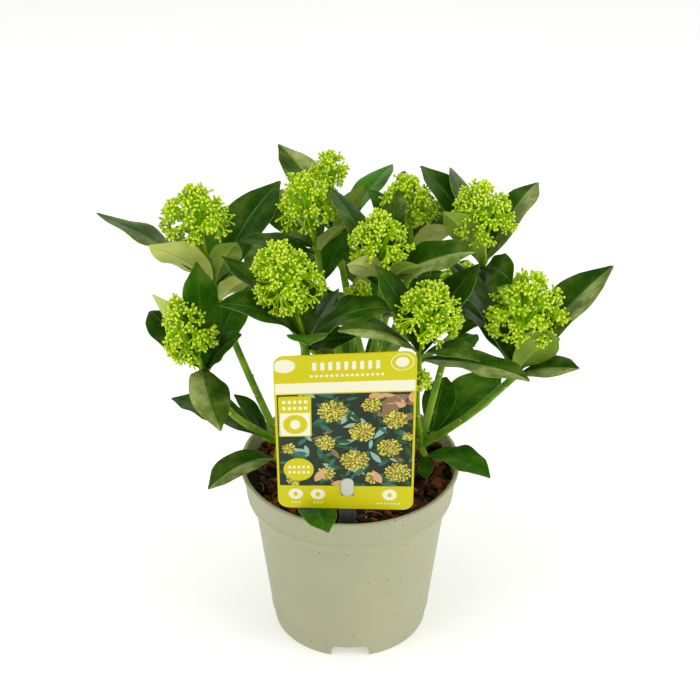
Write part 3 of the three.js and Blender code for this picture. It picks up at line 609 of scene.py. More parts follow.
def add_sticks(piece, starts, ends, start_radius, end_radius, kind=0):
    """Many short three-sided sticks at once."""
    facing = ends - starts
    facing /= np.linalg.norm(facing, axis=1)[:, None]
    across, up = square_frames(facing)
    rings = []
    for places, radius in ((starts, start_radius), (ends, end_radius)):
        for x, y in ((1, 0), (-0.5, 0.866), (-0.5, -0.866)):
            rings.append(places + (across * x + up * y) * radius)
    first = (np.arange(len(starts)) * len(rings))[:, None, None]
    walls = first + np.array([[0, 1, 4, 3], [1, 2, 5, 4], [2, 0, 3, 5]])
    caps = first + np.array([[2, 1, 0], [3, 4, 5]])
    piece.add(np.stack(rings, axis=1).reshape(-1, 3), walls.reshape(-1, 4), kind)
    piece.more_faces(caps.reshape(-1, 3), kind)


# Leaves

LEAF_ROWS = np.concatenate([np.linspace(0, 0.1, 4)[:-1], np.linspace(0.1, 0.86, 19)[:-1],
                            np.linspace(0.86, 1, 8)])
LEAF_COLUMNS = np.array([0, 0.035, 0.14, 0.3, 0.48, 0.66, 0.82, 0.93, 0.985, 1])
LEAF_COLUMNS = np.concatenate([-LEAF_COLUMNS[:0:-1], LEAF_COLUMNS])


def blade_half(t):
    """Half a leaf's width at a share of its length, as a share of the greatest: full past the middle."""
    def shape(share):
        return share ** 1.1 * (1 - share) ** 0.86
    taper = 1 - 0.3 * np.clip((t - 0.82) / 0.14, 0, 1) * np.clip((1 - t) / 0.04, 0, 1)
    return shape(t) / shape(LEAF_WIDEST) * taper


def leaf_frames(root, bearing, rise, length, roll, arch, sway, curl):
    """The points of a leaf's midrib, and the directions to its left and out of its upper side there."""
    t = LEAF_ROWS
    curled = curl * np.clip((t - CURL_FROM) / (1 - CURL_FROM), 0, 1) ** 1.5
    turned = np.radians(rise + arch / 2 - arch * t) - curled
    toward = np.radians(bearing) + sway * (t ** 1.6 - 0.385)
    level = np.cos(turned)
    facing = np.stack([level * np.cos(toward), level * np.sin(toward), np.sin(turned)], axis=1)
    steps = np.diff(t)[:, None] * length * (facing[1:] + facing[:-1]) / 2
    midrib = root + np.concatenate([np.zeros((1, 3)), np.cumsum(steps, axis=0)])
    side = np.stack([-np.sin(toward), np.cos(toward), np.zeros_like(toward)], axis=1)
    normal = np.cross(facing, side)
    turn = (roll * np.clip(t / STALK_END, 0, 1))[:, None]
    return midrib, side * np.cos(turn) + normal * np.sin(turn), normal * np.cos(turn) - side * np.sin(turn)


def add_leaf(piece, root, bearing, rise, length, roll, arch, chance, traits):
    """One leaf: it arches over from its root, folded along its midrib, with wavy edges and a curled tip."""
    t = LEAF_ROWS
    v = LEAF_COLUMNS
    drawn = {"sway": chance.uniform(-9, 9), "curl": chance.uniform(-8, 20)}
    sway, curl = (math.radians(traits.get(key, drawn[key])) for key in ("sway", "curl"))
    roll = math.radians(roll + chance.uniform(-3, 3))
    fold = math.radians(chance.uniform(10, 20))
    droop = chance.uniform(0.02, 0.16)
    wave = chance.uniform(0.02, 0.07)
    waves = chance.uniform(1.6, 3.2)
    phases = chance.uniform(0, 6.28), chance.uniform(0, 6.28)
    midrib, side, normal = leaf_frames(root, bearing, rise, length, roll, arch, sway, curl)

    widest = LEAF_HALF_WIDTH * length * traits.get("width", 1)
    half = np.maximum(blade_half(t), np.where(t < STALK_END, STALK_WIDTH, 0)) * widest
    size = np.abs(v)[None, :]
    opened = fold * (1.25 - 0.5 * t)[:, None]
    ripple = np.stack([np.sin(2 * np.pi * waves * t + p) for p in phases], axis=1)
    ripple = np.where(v[None, :] < 0, ripple[:, :1], ripple[:, 1:]) * wave * np.sin(np.pi * t)[:, None]
    out = half[:, None] * v[None, :] * np.cos(opened)
    lift = half[:, None] * (np.sin(opened) * size - droop * size ** 2.4 + 2 * ripple * size ** 2)
    middle = midrib[:, None, :] + side[:, None, :] * out[:, :, None] + normal[:, None, :] * lift[:, :, None]
    thick = BLADE_THICKNESS - EDGE_THINNING * size + np.zeros((len(t), 1))
    thick[-1] = TIP_THICKNESS
    groove = GROOVE_DEPTH * (size < GROOVE_WIDTH)
    ridge = RIDGE_DEPTH * np.clip(1 - size / RIDGE_WIDTH, 0, 1) * np.clip((1 - t) / RIDGE_FADE, 0, 1)[:, None]
    top = middle + normal[:, None, :] * (thick - groove)[:, :, None]
    under = middle - normal[:, None, :] * (thick + ridge)[:, :, None]

    centre = np.abs((v[:-1] + v[1:]) / 2)
    usual = chance.choices(UPPER, UPPER_SHARES)[0]
    # A pale painted sheen, standing in for a reflection, goes on one half of some leaves: at random, or where
    # the traits say
    painted_sheen_side = chance.choice((-1, 1)) if chance.random() < PAINTED_SHEEN_SHARE else 0
    painted_sheen = traits.get("painted_sheen", 0 if "tint" in traits else painted_sheen_side)
    upper = np.where((v[:-1] + v[1:]) * painted_sheen > 0, PAINTED_SHEEN, traits.get("tint", usual))
    upper = np.where(centre > MARGIN_FROM, MARGIN, np.where(centre < MIDRIB_WIDTH, MIDRIB, upper))
    below = traits.get("under", UNDER[chance.randrange(len(UNDER))])
    below = np.where(centre > MARGIN_FROM, MARGIN, np.where(centre < UNDER_RIB_WIDTH, UNDER_RIB, below))
    rows, columns = len(t), len(v)
    layer = rows * columns
    quads = grid_quads(rows, columns, False)
    values = np.stack(np.broadcast_arrays(t[:, None], size), axis=-1).reshape(-1, 2)
    piece.add(np.concatenate([top.reshape(-1, 3), under.reshape(-1, 3)]), quads[:, [1, 2, 3, 0]],
              np.tile(upper, rows - 1), np.concatenate([values, values]))
    piece.more_faces(quads[:, [0, 3, 2, 1]] + layer, np.tile(below, rows - 1))
    i = np.arange(rows - 1) * columns
    j = np.arange(columns - 1)
    last, end = columns - 1, layer - columns
    for edge in ((i, i + columns, i + columns + layer, i + layer),
                 (i + last, i + last + layer, i + last + columns + layer, i + last + columns),
                 (j, j + layer, j + 1 + layer, j + 1),
                 (end + j, end + j + 1, end + j + 1 + layer, end + j + layer)):
        piece.more_faces(np.stack(edge, axis=-1), MARGIN)


# Heads of buds

def bowed(start, bend, end, steps):
    """Points on a curve that leaves its start towards the bend and comes to its end from there."""
    s = np.linspace(0, 1, steps)[:, None]
    return start * (1 - s) ** 2 + 2 * bend * s * (1 - s) + end * s ** 2


def add_twig(piece, start, bend, end, radii, steps, sides, kind=0):
    tube(piece, bowed(start, bend, end, steps), np.linspace(*radii, steps), sides, kind)


def add_head(twigs, buds, whorl, middle, wide, tall, fullness, chance):
    """A dome of buds: branches leave its axis one above another, and each fork ends in a tuft of buds."""
    middle = vec(*middle)
    axis = unit(middle - whorl)
    helper = vec(0, 1, 0) if abs(axis[1]) < 0.8 else vec(1, 0, 0)
    across = unit(np.cross(helper, axis))
    up = np.cross(axis, across)
    size = (wide + tall) / 2
    reach = np.linalg.norm(middle - whorl)

    def spiral(index, count, depth):
        lift = 1 - depth * (index + 0.5) / count
        turn = index * GOLDEN_ANGLE + chance.uniform(-SPIRAL_SHAKE, SPIRAL_SHAKE)
        flat = math.sqrt(1 - lift * lift)
        return lift, across * flat * math.cos(turn) + up * flat * math.sin(turn)

    def dome(lift, out, share):
        swelling = 1.12 - 0.42 * max(lift + 0.25, 0)
        return middle + share * (out * (wide - TUFT_REACH) * swelling + axis * lift * (tall - TUFT_REACH))

    top = middle + axis * tall * 0.55
    add_twig(twigs, whorl, (whorl + top) / 2 + across * 0.8, top, AXIS_RADII, 8, 8)
    branches = []
    count = round(HEAD_BRANCHES * size / USUAL_SIZE)
    for i in range(count):
        lift, out = spiral(i, count, BRANCH_DEPTH)
        far = max(0.14 * reach, reach + tall * (0.5 * lift - 0.62))
        foot = whorl + axis * min(far, reach + tall * 0.4)
        fork = dome(lift, out, 0.5 + chance.uniform(-0.06, 0.06))
        bend = foot + axis * 0.32 * size * (1 - 0.5 * lift) + out * 0.16 * size
        add_twig(twigs, foot, bend, fork, BRANCH_RADII, 5, 6)
        branches.append((fork, unit(fork - bend), unit(out + axis * lift), chance.uniform(0.86, 1.07)))

    tufts = round(HEAD_TUFTS * fullness * (size / USUAL_SIZE) ** 1.5)
    facings = np.array([b[2] for b in branches])
    places, directions, starts, ends = [], [], [], []
    for i in range(tufts):
        lift, out = spiral(i, tufts, TUFT_DEPTH)
        outward = out + axis * lift
        share = chance.uniform(*(INNER_SHARES if i % INNER_EVERY == INNER_EVERY - 1 else OUTER_SHARES))
        fork, leaving, lobe, stretch = branches[int(np.argmax(facings @ outward))]
        outward = outward + (lobe - outward) * TUFT_PULL
        lift = float(outward @ axis)
        place = dome(lift, outward - axis * lift, share * stretch)
        bend = fork + leaving * np.linalg.norm(place - fork) * 0.45
        add_twig(twigs, fork, bend, place, FORK_RADII, 4, 5, 1)
        facing = unit(place - bend)
        beside = unit(np.cross(facing, axis + 0.03 * across + 0.02 * up))
        over = np.cross(facing, beside)
        count = chance.choice(BUDS_IN_TUFT)
        for k in range(count):
            spin = 2 * math.pi * (k + chance.uniform(-0.28, 0.28)) / (count - 1)
            lean = 0.2 if k == count - 1 else chance.uniform(0.6, 1.2)
            round_it = beside * math.cos(spin) + over * math.sin(spin)
            toward = unit(facing * math.cos(lean) + round_it * math.sin(lean))
            foot = place - facing * chance.uniform(0, 2.4)
            starts.append(foot)
            ends.append(foot + toward * chance.uniform(*PEDICEL_LENGTHS))
            directions.append(toward)
            places.append(ends[-1] + toward * 0.5)
    sizes = np.array([chance.uniform(*BUD_SIZES) for _ in places])
    add_sticks(twigs, np.array(starts), np.array(ends), *PEDICEL_RADII, 1)
    add_balls(buds, np.array(places), np.array(directions), sizes, sizes * BUD_STRETCH, BUD_KINDS)


# The plant

def side_of(place):
    """The joined piece that a whorl belongs to."""
    return "back" if place[1] > BACK_FROM else "left" if place[0] < RIGHT_FROM else "right"


def grow_leaves(piece, name, curve, blades, chance):
    """The leaves of a whorl, each a little further down the end of its stem than the one before."""
    length = length_of(curve)
    for i, blade in enumerate(blades):
        bearing, rise, long, roll, arch, down = (*blade, *(0, LEAF_ARCH, 0)[len(blade) - 3:])
        root = on_curve(curve, 1 - (down + 1 + ROOT_STEP * (i % ROOTS_IN_TURN)) / length)
        traits = LEAF_TRAITS.get(name, {}).get(i, {})
        add_leaf(piece, root, bearing, rise, long, roll, arch, chance, traits)


def make_plant():
    """Stems, leaves and heads of every shoot, joined by kind."""
    limbs = Joined()
    twigs, leaves, buds = ({side: Joined() for side in SIDES} for _ in range(3))
    masses = {side: [] for side in SIDES}
    for index, (name, (fork, bend, whorl, radius, heads, blades)) in enumerate(SHOOTS.items()):
        chance = random.Random(500 + index)
        curve = smooth_curve([FORKS[fork][1], bend, whorl])
        add_stem(limbs, curve, radius, chance)
        side = side_of(whorl)
        masses[side].append("foliage_" + name)
        for which, head in enumerate(heads):
            root = on_curve(curve, 1 - SIDE_HEAD_DOWN * which / length_of(curve))
            add_head(twigs[side], buds[side], root, *head, HEAD_FULLNESS.get(name, 1), chance)
        grow_leaves(leaves[side], name, curve, blades, chance)
    for index, (name, (fork, end, blades)) in enumerate(LOW_TWIGS.items()):
        start = vec(*FORKS[fork][1]) if fork != "trunk" else (vec(*TRUNK_FOOT) + vec(*TRUNK_TOP)) / 2
        path = start + (vec(*end) - start) * np.linspace(0, 1, 8)[:, None]
        tube(limbs, path, np.linspace(*TWIG_RADII, 8), 12)
        side = side_of(end)
        masses[side].append(name)
        grow_leaves(leaves[side], name, path, blades, random.Random(700 + index))
    return limbs, twigs, leaves, buds, masses


def add_stem(limbs, curve, radius, chance):
    """A smooth tapering stem with raised scars where old leaves grew, and a knob under its whorl."""
    length = length_of(curve)
    shares = np.linspace(0, 1, STEM_ROWS)
    path = on_curve(curve, shares)
    radii = radius * (STEM_FOOT_SHARE + (1 - STEM_FOOT_SHARE) * shares)
    radii += KNOB_SWELL * np.exp(-((shares - 1) * length / KNOB_LENGTH) ** 2)
    tube(limbs, path, radii, STEM_SIDES)
    _, across, up = frames_along(path)
    far = chance.uniform(8, 14)
    turn = chance.uniform(0, 6)
    places, directions, sizes = [], [], []
    while far < length - 12:
        share = far / length
        k = int(share * (STEM_ROWS - 1))
        outward = across[k] * math.cos(turn) + up[k] * math.sin(turn)
        places.append(on_curve(curve, share) + outward * np.interp(share, shares, radii) * 0.97)
        directions.append(outward)
        sizes.append(chance.uniform(0.75, 1.15))
        turn += GOLDEN_ANGLE
        far += chance.uniform(9, 17)
    if places:
        sizes = np.array(sizes)
        scars = np.full(len(BUD_FACES), 1)
        add_balls(limbs, np.array(places), np.array(directions), sizes, sizes * 0.55, scars)


def bark_relief(rows, sides, length, furrows, chance):
    """How far bark stands out round a limb: wandering furrows, lumps and rings of old scars."""
    along = np.linspace(0, length, rows)[:, None]
    angle = 2 * np.pi * np.arange(sides)[None, :] / sides
    shifts = [chance.uniform(0, 6.28) for _ in range(5)]
    ridges = np.sin(furrows * angle + 1.3 * np.sin(along / 5.1 + shifts[0]) + shifts[1])
    lumps = np.sin(3 * angle + along / 3.7 + shifts[2]) * np.sin(2 * angle - along / 6.3 + shifts[3])
    scars = np.clip(np.sin(along / 1.9 + 0.7 * np.sin(2 * angle) + shifts[4]) - 0.6, 0, 1)
    return 0.22 * ridges + 0.26 * lumps + 0.5 * scars


def make_trunk():
    """The short trunk with its root flare, and the boughs, all with bark."""
    wood = Joined()
    chance = random.Random(77)
    foot, top = vec(*TRUNK_FOOT), vec(*TRUNK_TOP)
    rows, sides = 46, 56
    shares = np.linspace(0, 1, rows)
    radii = np.interp(shares, [0, 0.14, 0.4, 0.8, 1], [9.5, 7.4, 6, 5.4, 4.6])
    relief = bark_relief(rows, sides, 18, 13, chance)
    tube(wood, foot + (top - foot) * shares[:, None], radii, sides, 0, 0.08, 7, relief)
    sides = 40
    for by, tip in FORKS.values():
        curve = smooth_curve([foot * 0.4 + top * 0.6, by, tip])
        rows = round(length_of(curve) * 1.6)
        relief = bark_relief(rows, sides, length_of(curve), 10, chance)
        path = on_curve(curve, np.linspace(0, 1, rows))
        tube(wood, path, np.linspace(*BOUGH_RADII, rows), sides, 0, 0.04, 6, relief)
    return wood


# The pot

def around(radius, sides):
    """The x and y of points round a circle."""
    return [(radius * math.cos(2 * math.pi * i / sides), radius * math.sin(2 * math.pi * i / sides))
            for i in range(sides)]


def turned(profile, sides):
    """A closed turned mesh, whose profile of radius and height runs from the axis and back to it."""
    mesh = bmesh.new()
    rings = []
    for radius, height in profile:
        ring = [(0, 0)] if radius < 1e-6 else around(radius, sides)
        rings.append([mesh.verts.new((x, y, height)) for x, y in ring])
    for low, high in zip(rings, rings[1:]):
        for i in range(sides):
            j = (i + 1) % sides
            corners = [low[i % len(low)], low[j % len(low)], high[j % len(high)], high[i % len(high)]]
            mesh.faces.new(list(dict.fromkeys(corners)))
    return mesh


def prism(mesh, near, away, kind=0):
    """A closed prism between two outlines with as many points, added to a mesh."""
    near = [mesh.verts.new(p) for p in near]
    away = [mesh.verts.new(p) for p in away]
    made = [mesh.faces.new(near), mesh.faces.new(away[::-1])]
    for i in range(len(near)):
        j = (i + 1) % len(near)
        made.append(mesh.faces.new([near[j], near[i], away[i], away[j]]))
    for face in made:
        face.material_index = kind


def object_from(mesh, name, materials, smooth=True):
    data = bpy.data.meshes.new(name)
    for corner in mesh.verts:
        corner.co *= MM
    mesh.normal_update()
    mesh.to_mesh(data)
    mesh.free()
    return placed(name, data, materials, smooth)


def rounded_corner(before, corner, after, radius, steps=4):
    """Points that round a corner of a profile."""
    before, corner, after = (np.array(p, float) for p in (before, corner, after))
    start = corner + unit(before - corner) * radius
    end = corner + unit(after - corner) * radius
    return [tuple(point) for point in bowed(start, corner, end, steps)]


def rounded_profile(corners):
    """A profile whose corners, given as radius, height and rounding, are rounded."""
    made = [corners[0][:2]]
    for before, corner, after in zip(corners, corners[1:], corners[2:]):
        if corner[2] > 0:
            made += rounded_corner(before[:2], corner[:2], after[:2], corner[2])
        else:
            made.append(corner[:2])
    return made + [corners[-1][:2]]


def make_pot(materials):
    """The pot's wall, from the middle of its underside over the rim and down to its floor inside."""
    foot = FOOT_RADIUS - FOOT_STEP
    corners = [
        (0, 0, 0),
        (foot - 0.5, 0, 0.8),
        (foot, FOOT_HEIGHT, 0.3),
        (FOOT_RADIUS, FOOT_HEIGHT + 0.6, 0.5),
        (FOOT_RADIUS + 0.35, FOOT_HEIGHT + 3.6, 0.1),
        (FOOT_RADIUS + 0.2, FOOT_HEIGHT + 3.8, 0.1),
        (SHOULDER_RADIUS, BAND_FOOT - 2.5, 0.6),
        (SHOULDER_RADIUS + 2.9, BAND_FOOT - 1.7, 0.7),
        (BAND_RADIUS - 0.25, BAND_FOOT + 1.2, 0.8),
        (BAND_RADIUS + 0.2, BAND_FOOT + 4.4, 0.1),
        (BAND_RADIUS + 0.02, BAND_FOOT + 4.6, 0.1),
        (RIM_RADIUS - 1.1, POT_HEIGHT - 3.6, 0.4),
        (RIM_RADIUS, POT_HEIGHT - 3, 0.5),
        (RIM_RADIUS, POT_HEIGHT, 0.7),
        (RIM_RADIUS - 2.2, POT_HEIGHT, 0.6),
        (BAND_RADIUS - POT_WALL, BAND_FOOT + 1.2, 0.5),
        (SHOULDER_RADIUS - POT_WALL, BAND_FOOT - 1.6, 0.5),
        (foot - POT_WALL, FOOT_HEIGHT + 0.8, 0.5),
        (foot - 0.5 - POT_WALL, CHANNEL_HEIGHT + POT_WALL, 0.3),
        (0, CHANNEL_HEIGHT + POT_WALL, 0),
    ]
    pot = object_from(turned(rounded_profile(corners), POT_SIDES), "pot_shell", materials)
    halves = [(CHANNEL_FOOT_WIDTH / 2, -2), (CHANNEL_TOP_WIDTH / 2 + 0.6, CHANNEL_HEIGHT - 1.6),
              (CHANNEL_TOP_WIDTH / 2 - 1, CHANNEL_HEIGHT)]
    section = [(-halves[0][0], halves[0][1]), *halves, *[(-x, z) for x, z in halves[:0:-1]]]
    cutter = bmesh.new()
    for i in range(CHANNEL_COUNT):
        angle = -math.pi / 2 + 2 * math.pi * i / CHANNEL_COUNT
        c, s = math.cos(angle), math.sin(angle)
        prism(cutter, *([(far * c - x * s, far * s + x * c, z) for x, z in section]
                        for far in (CHANNEL_START, RIM_RADIUS)))
    bmesh.ops.recalc_face_normals(cutter, faces=cutter.faces)
    knife = object_from(cutter, "channel_cutter", [])
    cut = pot.modifiers.new("channels", "BOOLEAN")
    cut.operation = "DIFFERENCE"
    cut.solver = "EXACT"
    cut.object = knife
    apply_modifiers(pot)
    bpy.data.objects.remove(knife)
    sharpen(pot, 34)
    dress(pot, "pot", "pot")


def apply_modifiers(piece):
    graph = bpy.context.evaluated_depsgraph_get()
    made = bpy.data.meshes.new_from_object(piece.evaluated_get(graph))
    piece.modifiers.clear()
    piece.data = made


def sharpen(piece, degrees):
    """Smooths a piece's shading, but not over the edges that turn by more than this."""
    piece.data.shade_smooth()
    mesh = bmesh.new()
    mesh.from_mesh(piece.data)
    for edge in mesh.edges:
        edge.smooth = len(edge.link_faces) == 2 and edge.calc_face_angle(0) < math.radians(degrees)
    mesh.to_mesh(piece.data)
    mesh.free()


# The compost

def compost_height(x, y):
    """The lumpy top of the compost."""
    return (COMPOST_TOP - 1.6 + 1.3 * np.sin(x / 7.3 + 1) * np.cos(y / 6.1) + 0.8 * np.sin(x / 3.1 - y / 2.7)
            + 0.5 * np.sin(x / 1.3) * np.cos(y / 1.7 + 2))


def make_compost(materials):
    """A solid of dark peat with a rough top."""
    rings, sides = 46, 120
    radius = np.linspace(0, 1, rings)[:, None] * (RIM_RADIUS - 4.6)
    angle = 2 * np.pi * np.arange(sides)[None, :] / sides
    x, y = radius * np.cos(angle), radius * np.sin(angle)
    top = np.stack([x, y, compost_height(x, y)], axis=-1)[1:].reshape(-1, 3)
    levels = [(SHOULDER_RADIUS - 3, BAND_FOOT - 3), (FOOT_RADIUS - 4, 14)]
    walls = [np.stack([r * np.cos(angle[0]), r * np.sin(angle[0]), np.full(sides, z)], axis=-1)
             for r, z in levels]
    ends = vec(0, 0, compost_height(0.0, 0.0))[None], vec(0, 0, levels[-1][1])[None]
    points = np.concatenate([ends[0], top, *walls, ends[1]])
    piece = Joined()
    bands = rings - 2 + len(levels)
    piece.add(points, 1 + grid_quads(bands + 1, sides, True)[:, [0, 3, 2, 1]])
    ring = 1 + np.arange(sides)
    piece.more_faces(fan(0, ring))
    piece.more_faces(fan(len(points) - 1, bands * sides + ring)[:, [0, 2, 1]])
    dress(piece.make("compost_peat", materials), "compost", "compost")


def chip_shape(chance, long, wide, thick):
    """The points of a bark chip: a rough block with bevelled, torn edges."""
    grid = np.array([[x, y, z] for x in (-1, -0.35, 0.4, 1) for y in (-1, 0, 1) for z in (-1, 1)], float)
    points = grid * vec(long, wide, thick) / 2
    points[:, 1:] *= 1 - 0.25 * (np.abs(grid[:, :1]) > 0.9)
    shakes = np.array([[chance.uniform(-1, 1) for _ in range(3)] for _ in points])
    points += shakes * vec(0.09 * long, 0.12 * wide, 0.18 * thick)
    points[:, 2] += chance.uniform(-0.1, 0.1) * points[:, 0]
    return points


def chip_faces():
    """The faces of a block of 4 by 3 by 2 points."""
    block = np.arange(24).reshape(4, 3, 2)
    sheets = (block[:, :, 1], block[:, :, 0].T, block[:, 0], block[:, 2].T, block[0].T, block[3])
    return np.concatenate([np.stack([s[:-1, :-1], s[1:, :-1], s[1:, 1:], s[:-1, 1:]], axis=-1).reshape(-1, 4)
                           for s in sheets])


def random_turn(chance, tilt):
    """A turn about +Z and then a lean of up to tilt degrees, for points given in rows."""
    spin = Matrix.Rotation(chance.uniform(0, 2 * math.pi), 3, "Z")
    lean, pitch = (Matrix.Rotation(math.radians(chance.uniform(-tilt, tilt)), 3, axis) for axis in "XY")
    return np.array(spin @ lean @ pitch).T


def random_spot(chance):
    """A place on the compost, and how far it is from its middle."""
    far = CHIPS_RADIUS * math.sqrt(chance.uniform(0, 1))
    angle = chance.uniform(0, 2 * math.pi)
    return far * math.cos(angle), far * math.sin(angle), far


def make_chips(materials):
    """Bark chips, white grit and fine roots over the compost."""
    chance = random.Random(11)
    faces = chip_faces()
    chips = Joined()
    for _ in range(CHIP_COUNT):
        x, y, far = random_spot(chance)
        long = chance.uniform(7, 13) if chance.random() < 0.2 else chance.uniform(2.4, 6.5)
        wide = long * chance.uniform(0.35, 0.65)
        thick = min(chance.uniform(1.2, 3), wide * 0.7)
        points = chip_shape(chance, long, wide, thick) @ random_turn(chance, 34)
        past = np.hypot(points[:, 0] + x, points[:, 1] + y).max() - CHIPS_RADIUS - 2
        if past > 0:
            x, y = x * (1 - past / far), y * (1 - past / far)
        height = float(compost_height(x, y)) + thick * 0.3 + chance.uniform(-0.6, 1.6)
        if y > 22:
            height += chance.uniform(0, 2.5)
        chips.add(points + vec(x, y, height), faces, chance.choices((0, 1, 2, 3), (6, 4, 3, 3))[0])
    dress(chips.make("bark_chips", materials[:4], smooth=False), "compost", "compost")

    fine = Joined()
    for k in range(GRIT_COUNT + ROOT_COUNT):
        x, y, _ = random_spot(chance)
        spot = vec(x, y, float(compost_height(x, y)) + chance.uniform(0.6, 2.2))
        if k < GRIT_COUNT:
            size = chance.uniform(0.5, 1.1)
            points = chip_shape(chance, 2 * size, 1.7 * size, 1.4 * size) @ random_turn(chance, 80)
            fine.add(points + spot, faces)
        else:
            turn = chance.uniform(0, 2 * math.pi)
            long = chance.uniform(5, 14)
            s = np.linspace(-0.5, 0.5, 7)[:, None]
            path = (spot + vec(math.cos(turn), math.sin(turn), 0) * s * long
                    + vec(-math.sin(turn), math.cos(turn), 0) * chance.uniform(-3, 3) * s ** 2 * 4
                    + vec(0, 0, 1) * (1.2 - 4 * s ** 2))
            if (np.hypot(path[:, 0], path[:, 1]) < CHIPS_RADIUS + 1).all():
                tube(fine, path, np.full(7, chance.uniform(0.14, 0.3)), 5, 1)
    dress(fine.make("grit_and_roots", materials[4:], smooth=False), "compost", "compost")


# The label

def settle_on_card(mesh, bent=True):
    """Moves a mesh from the card's own frame to the part's. A bent one is twisted a little with the card,
    its right side more upright, and is first cut into small faces so that it can bend."""
    if bent:
        cuts = [((x, 0, 0), (1, 0, 0)) for x in np.linspace(-34, 34, 17)]
        cuts += [((0, 0, z), (0, 0, 1)) for z in np.linspace(6, 108, 18)]
        for place, facing in cuts:
            everything = mesh.verts[:] + mesh.edges[:] + mesh.faces[:]
            bmesh.ops.bisect_plane(mesh, geom=everything, plane_co=place, plane_no=facing)
    for corner in mesh.verts:
        x, y, z = corner.co
        lean = CARD_LEAN - (CARD_TWIST * x / (CARD_WIDTH / 2) if bent else 0)
        moved = Vector((x - CARD_SHIFT, y, z - CARD_SKEW * x)) if bent else corner.co
        corner.co = Matrix.Translation(CARD_FOOT) @ Matrix.Rotation(math.radians(lean), 4, "X") @ moved


def rounded_rectangle(left, foot, width, height, corner, steps=8):
    """An outline of x and z, counter-clockwise from the lower right corner."""
    outline = []
    right, top = left + width, foot + height
    for x, z, start in ((right - corner, foot + corner, -90), (right - corner, top - corner, 0),
                        (left + corner, top - corner, 90), (left + corner, foot + corner, 180)):
        for i in range(steps + 1):
            angle = math.radians(start + 90 * i / steps)
            outline.append((x + corner * math.cos(angle), z + corner * math.sin(angle)))
    return outline


def moved_outline(points, x, z, turn):
    """An outline turned by degrees and moved to a place."""
    c, s = math.cos(math.radians(turn)), math.sin(math.radians(turn))
    return [(x + a * c - b * s, z + a * s + b * c) for a, b in points]


def ellipse(x, z, wide, tall, turn=0, steps=28):
    turns = [2 * math.pi * i / steps for i in range(steps)]
    return moved_outline([(wide * math.cos(t), tall * math.sin(t)) for t in turns], x, z, turn)


def lozenge(x, z, long, wide, turn):
    """A pointed leaf's outline, whose root is at the place."""
    sides = [(a * long, wide / 2 * math.sin(math.pi * a ** 0.85)) for a in np.linspace(0, 1, 9)]
    return moved_outline([(a, -b) for a, b in sides[:-1]] + sides[:0:-1], x, z, turn)


def kept_within(outline, left, foot, width, height):
    """An outline cut back to a rectangle, or nothing where too little of it is left."""
    made = []
    for x, z in outline:
        spot = (min(max(x, left), left + width), min(max(z, foot), foot + height))
        if not made or math.dist(spot, made[-1]) > 0.02:
            made.append(spot)
    if math.dist(made[0], made[-1]) < 0.02:
        made.pop()
    area = sum(a[0] * b[1] - b[0] * a[1] for a, b in zip(made, made[1:] + made[:1])) / 2
    return made if area > 0.1 else None


def plate(mesh, outline, front, back, kind=0):
    """A flat closed plate in the card's plane, added to a mesh, between two distances behind the card."""
    prism(mesh, [(x, front, z) for x, z in outline], [(x, back, z) for x, z in outline], kind)


def print_shape(mesh, outline, kind, level, within=PRINTED):
    """A printed shape, which covers those of lower levels."""
    cut = kept_within(outline, *within)
    half = CARD_THICKNESS / 2
    if cut:
        plate(mesh, cut, -half - PRINT_DEPTH * (level + 1), -half + 0.01, kind)


def print_picture(mesh):
    """A picture of plain patches, scattered lozenges and flower discs of many dots."""
    left, foot, width, height = PICTURE
    top = foot + height
    print_shape(mesh, rounded_rectangle(*PICTURE, 0.2, 1), DARK, 0)
    chance = random.Random(31)
    for k in range(9):
        x, z = 24 + chance.uniform(-6, 14), top - chance.uniform(2, 20)
        spot = ellipse(x, z, chance.uniform(4, 9), chance.uniform(2, 4), chance.uniform(-30, 30))
        print_shape(mesh, spot, (WARM, EARTH, EARTH)[k % 3], 1 + k % 2, PICTURE)
    for k in range(170):
        x, z = left + chance.uniform(0, width), foot + chance.uniform(0, height)
        if x > 12 and z > top - 18 and k % 4:
            continue
        kind = chance.choices((TEAL, LEAF, GLINT, EARTH), (5, 6, 3, 1))[0]
        long = chance.uniform(6, 11)
        print_shape(mesh, lozenge(x, z, long, long * 0.32, chance.uniform(0, 360)), kind, 3 + k % 4, PICTURE)
    for x, z, radius in FLOWERS:
        print_shape(mesh, ellipse(x, z, radius, radius * DISC_SHARE), FLOWER, 8, PICTURE)
        count = round(1.7 * radius ** 2)
        for i in range(count):
            far = 1.06 * radius * math.sqrt((i + 0.5) / count)
            angle = i * GOLDEN_ANGLE + chance.uniform(-0.2, 0.2)
            size = chance.uniform(0.42, 0.8)
            dot = ellipse(x + far * math.cos(angle), z + DISC_SHARE * far * math.sin(angle), size, size, 0, 6)
            print_shape(mesh, dot, chance.choices((DOT, OCHRE), (3, 2))[0], 9 + i % 2, PICTURE)
    for turn, x, z in ((62, -17, 21), (118, 20, 20), (8, -8, 19)):
        print_shape(mesh, lozenge(x, z, 11, 4.6, turn), WARM, 11, PICTURE)


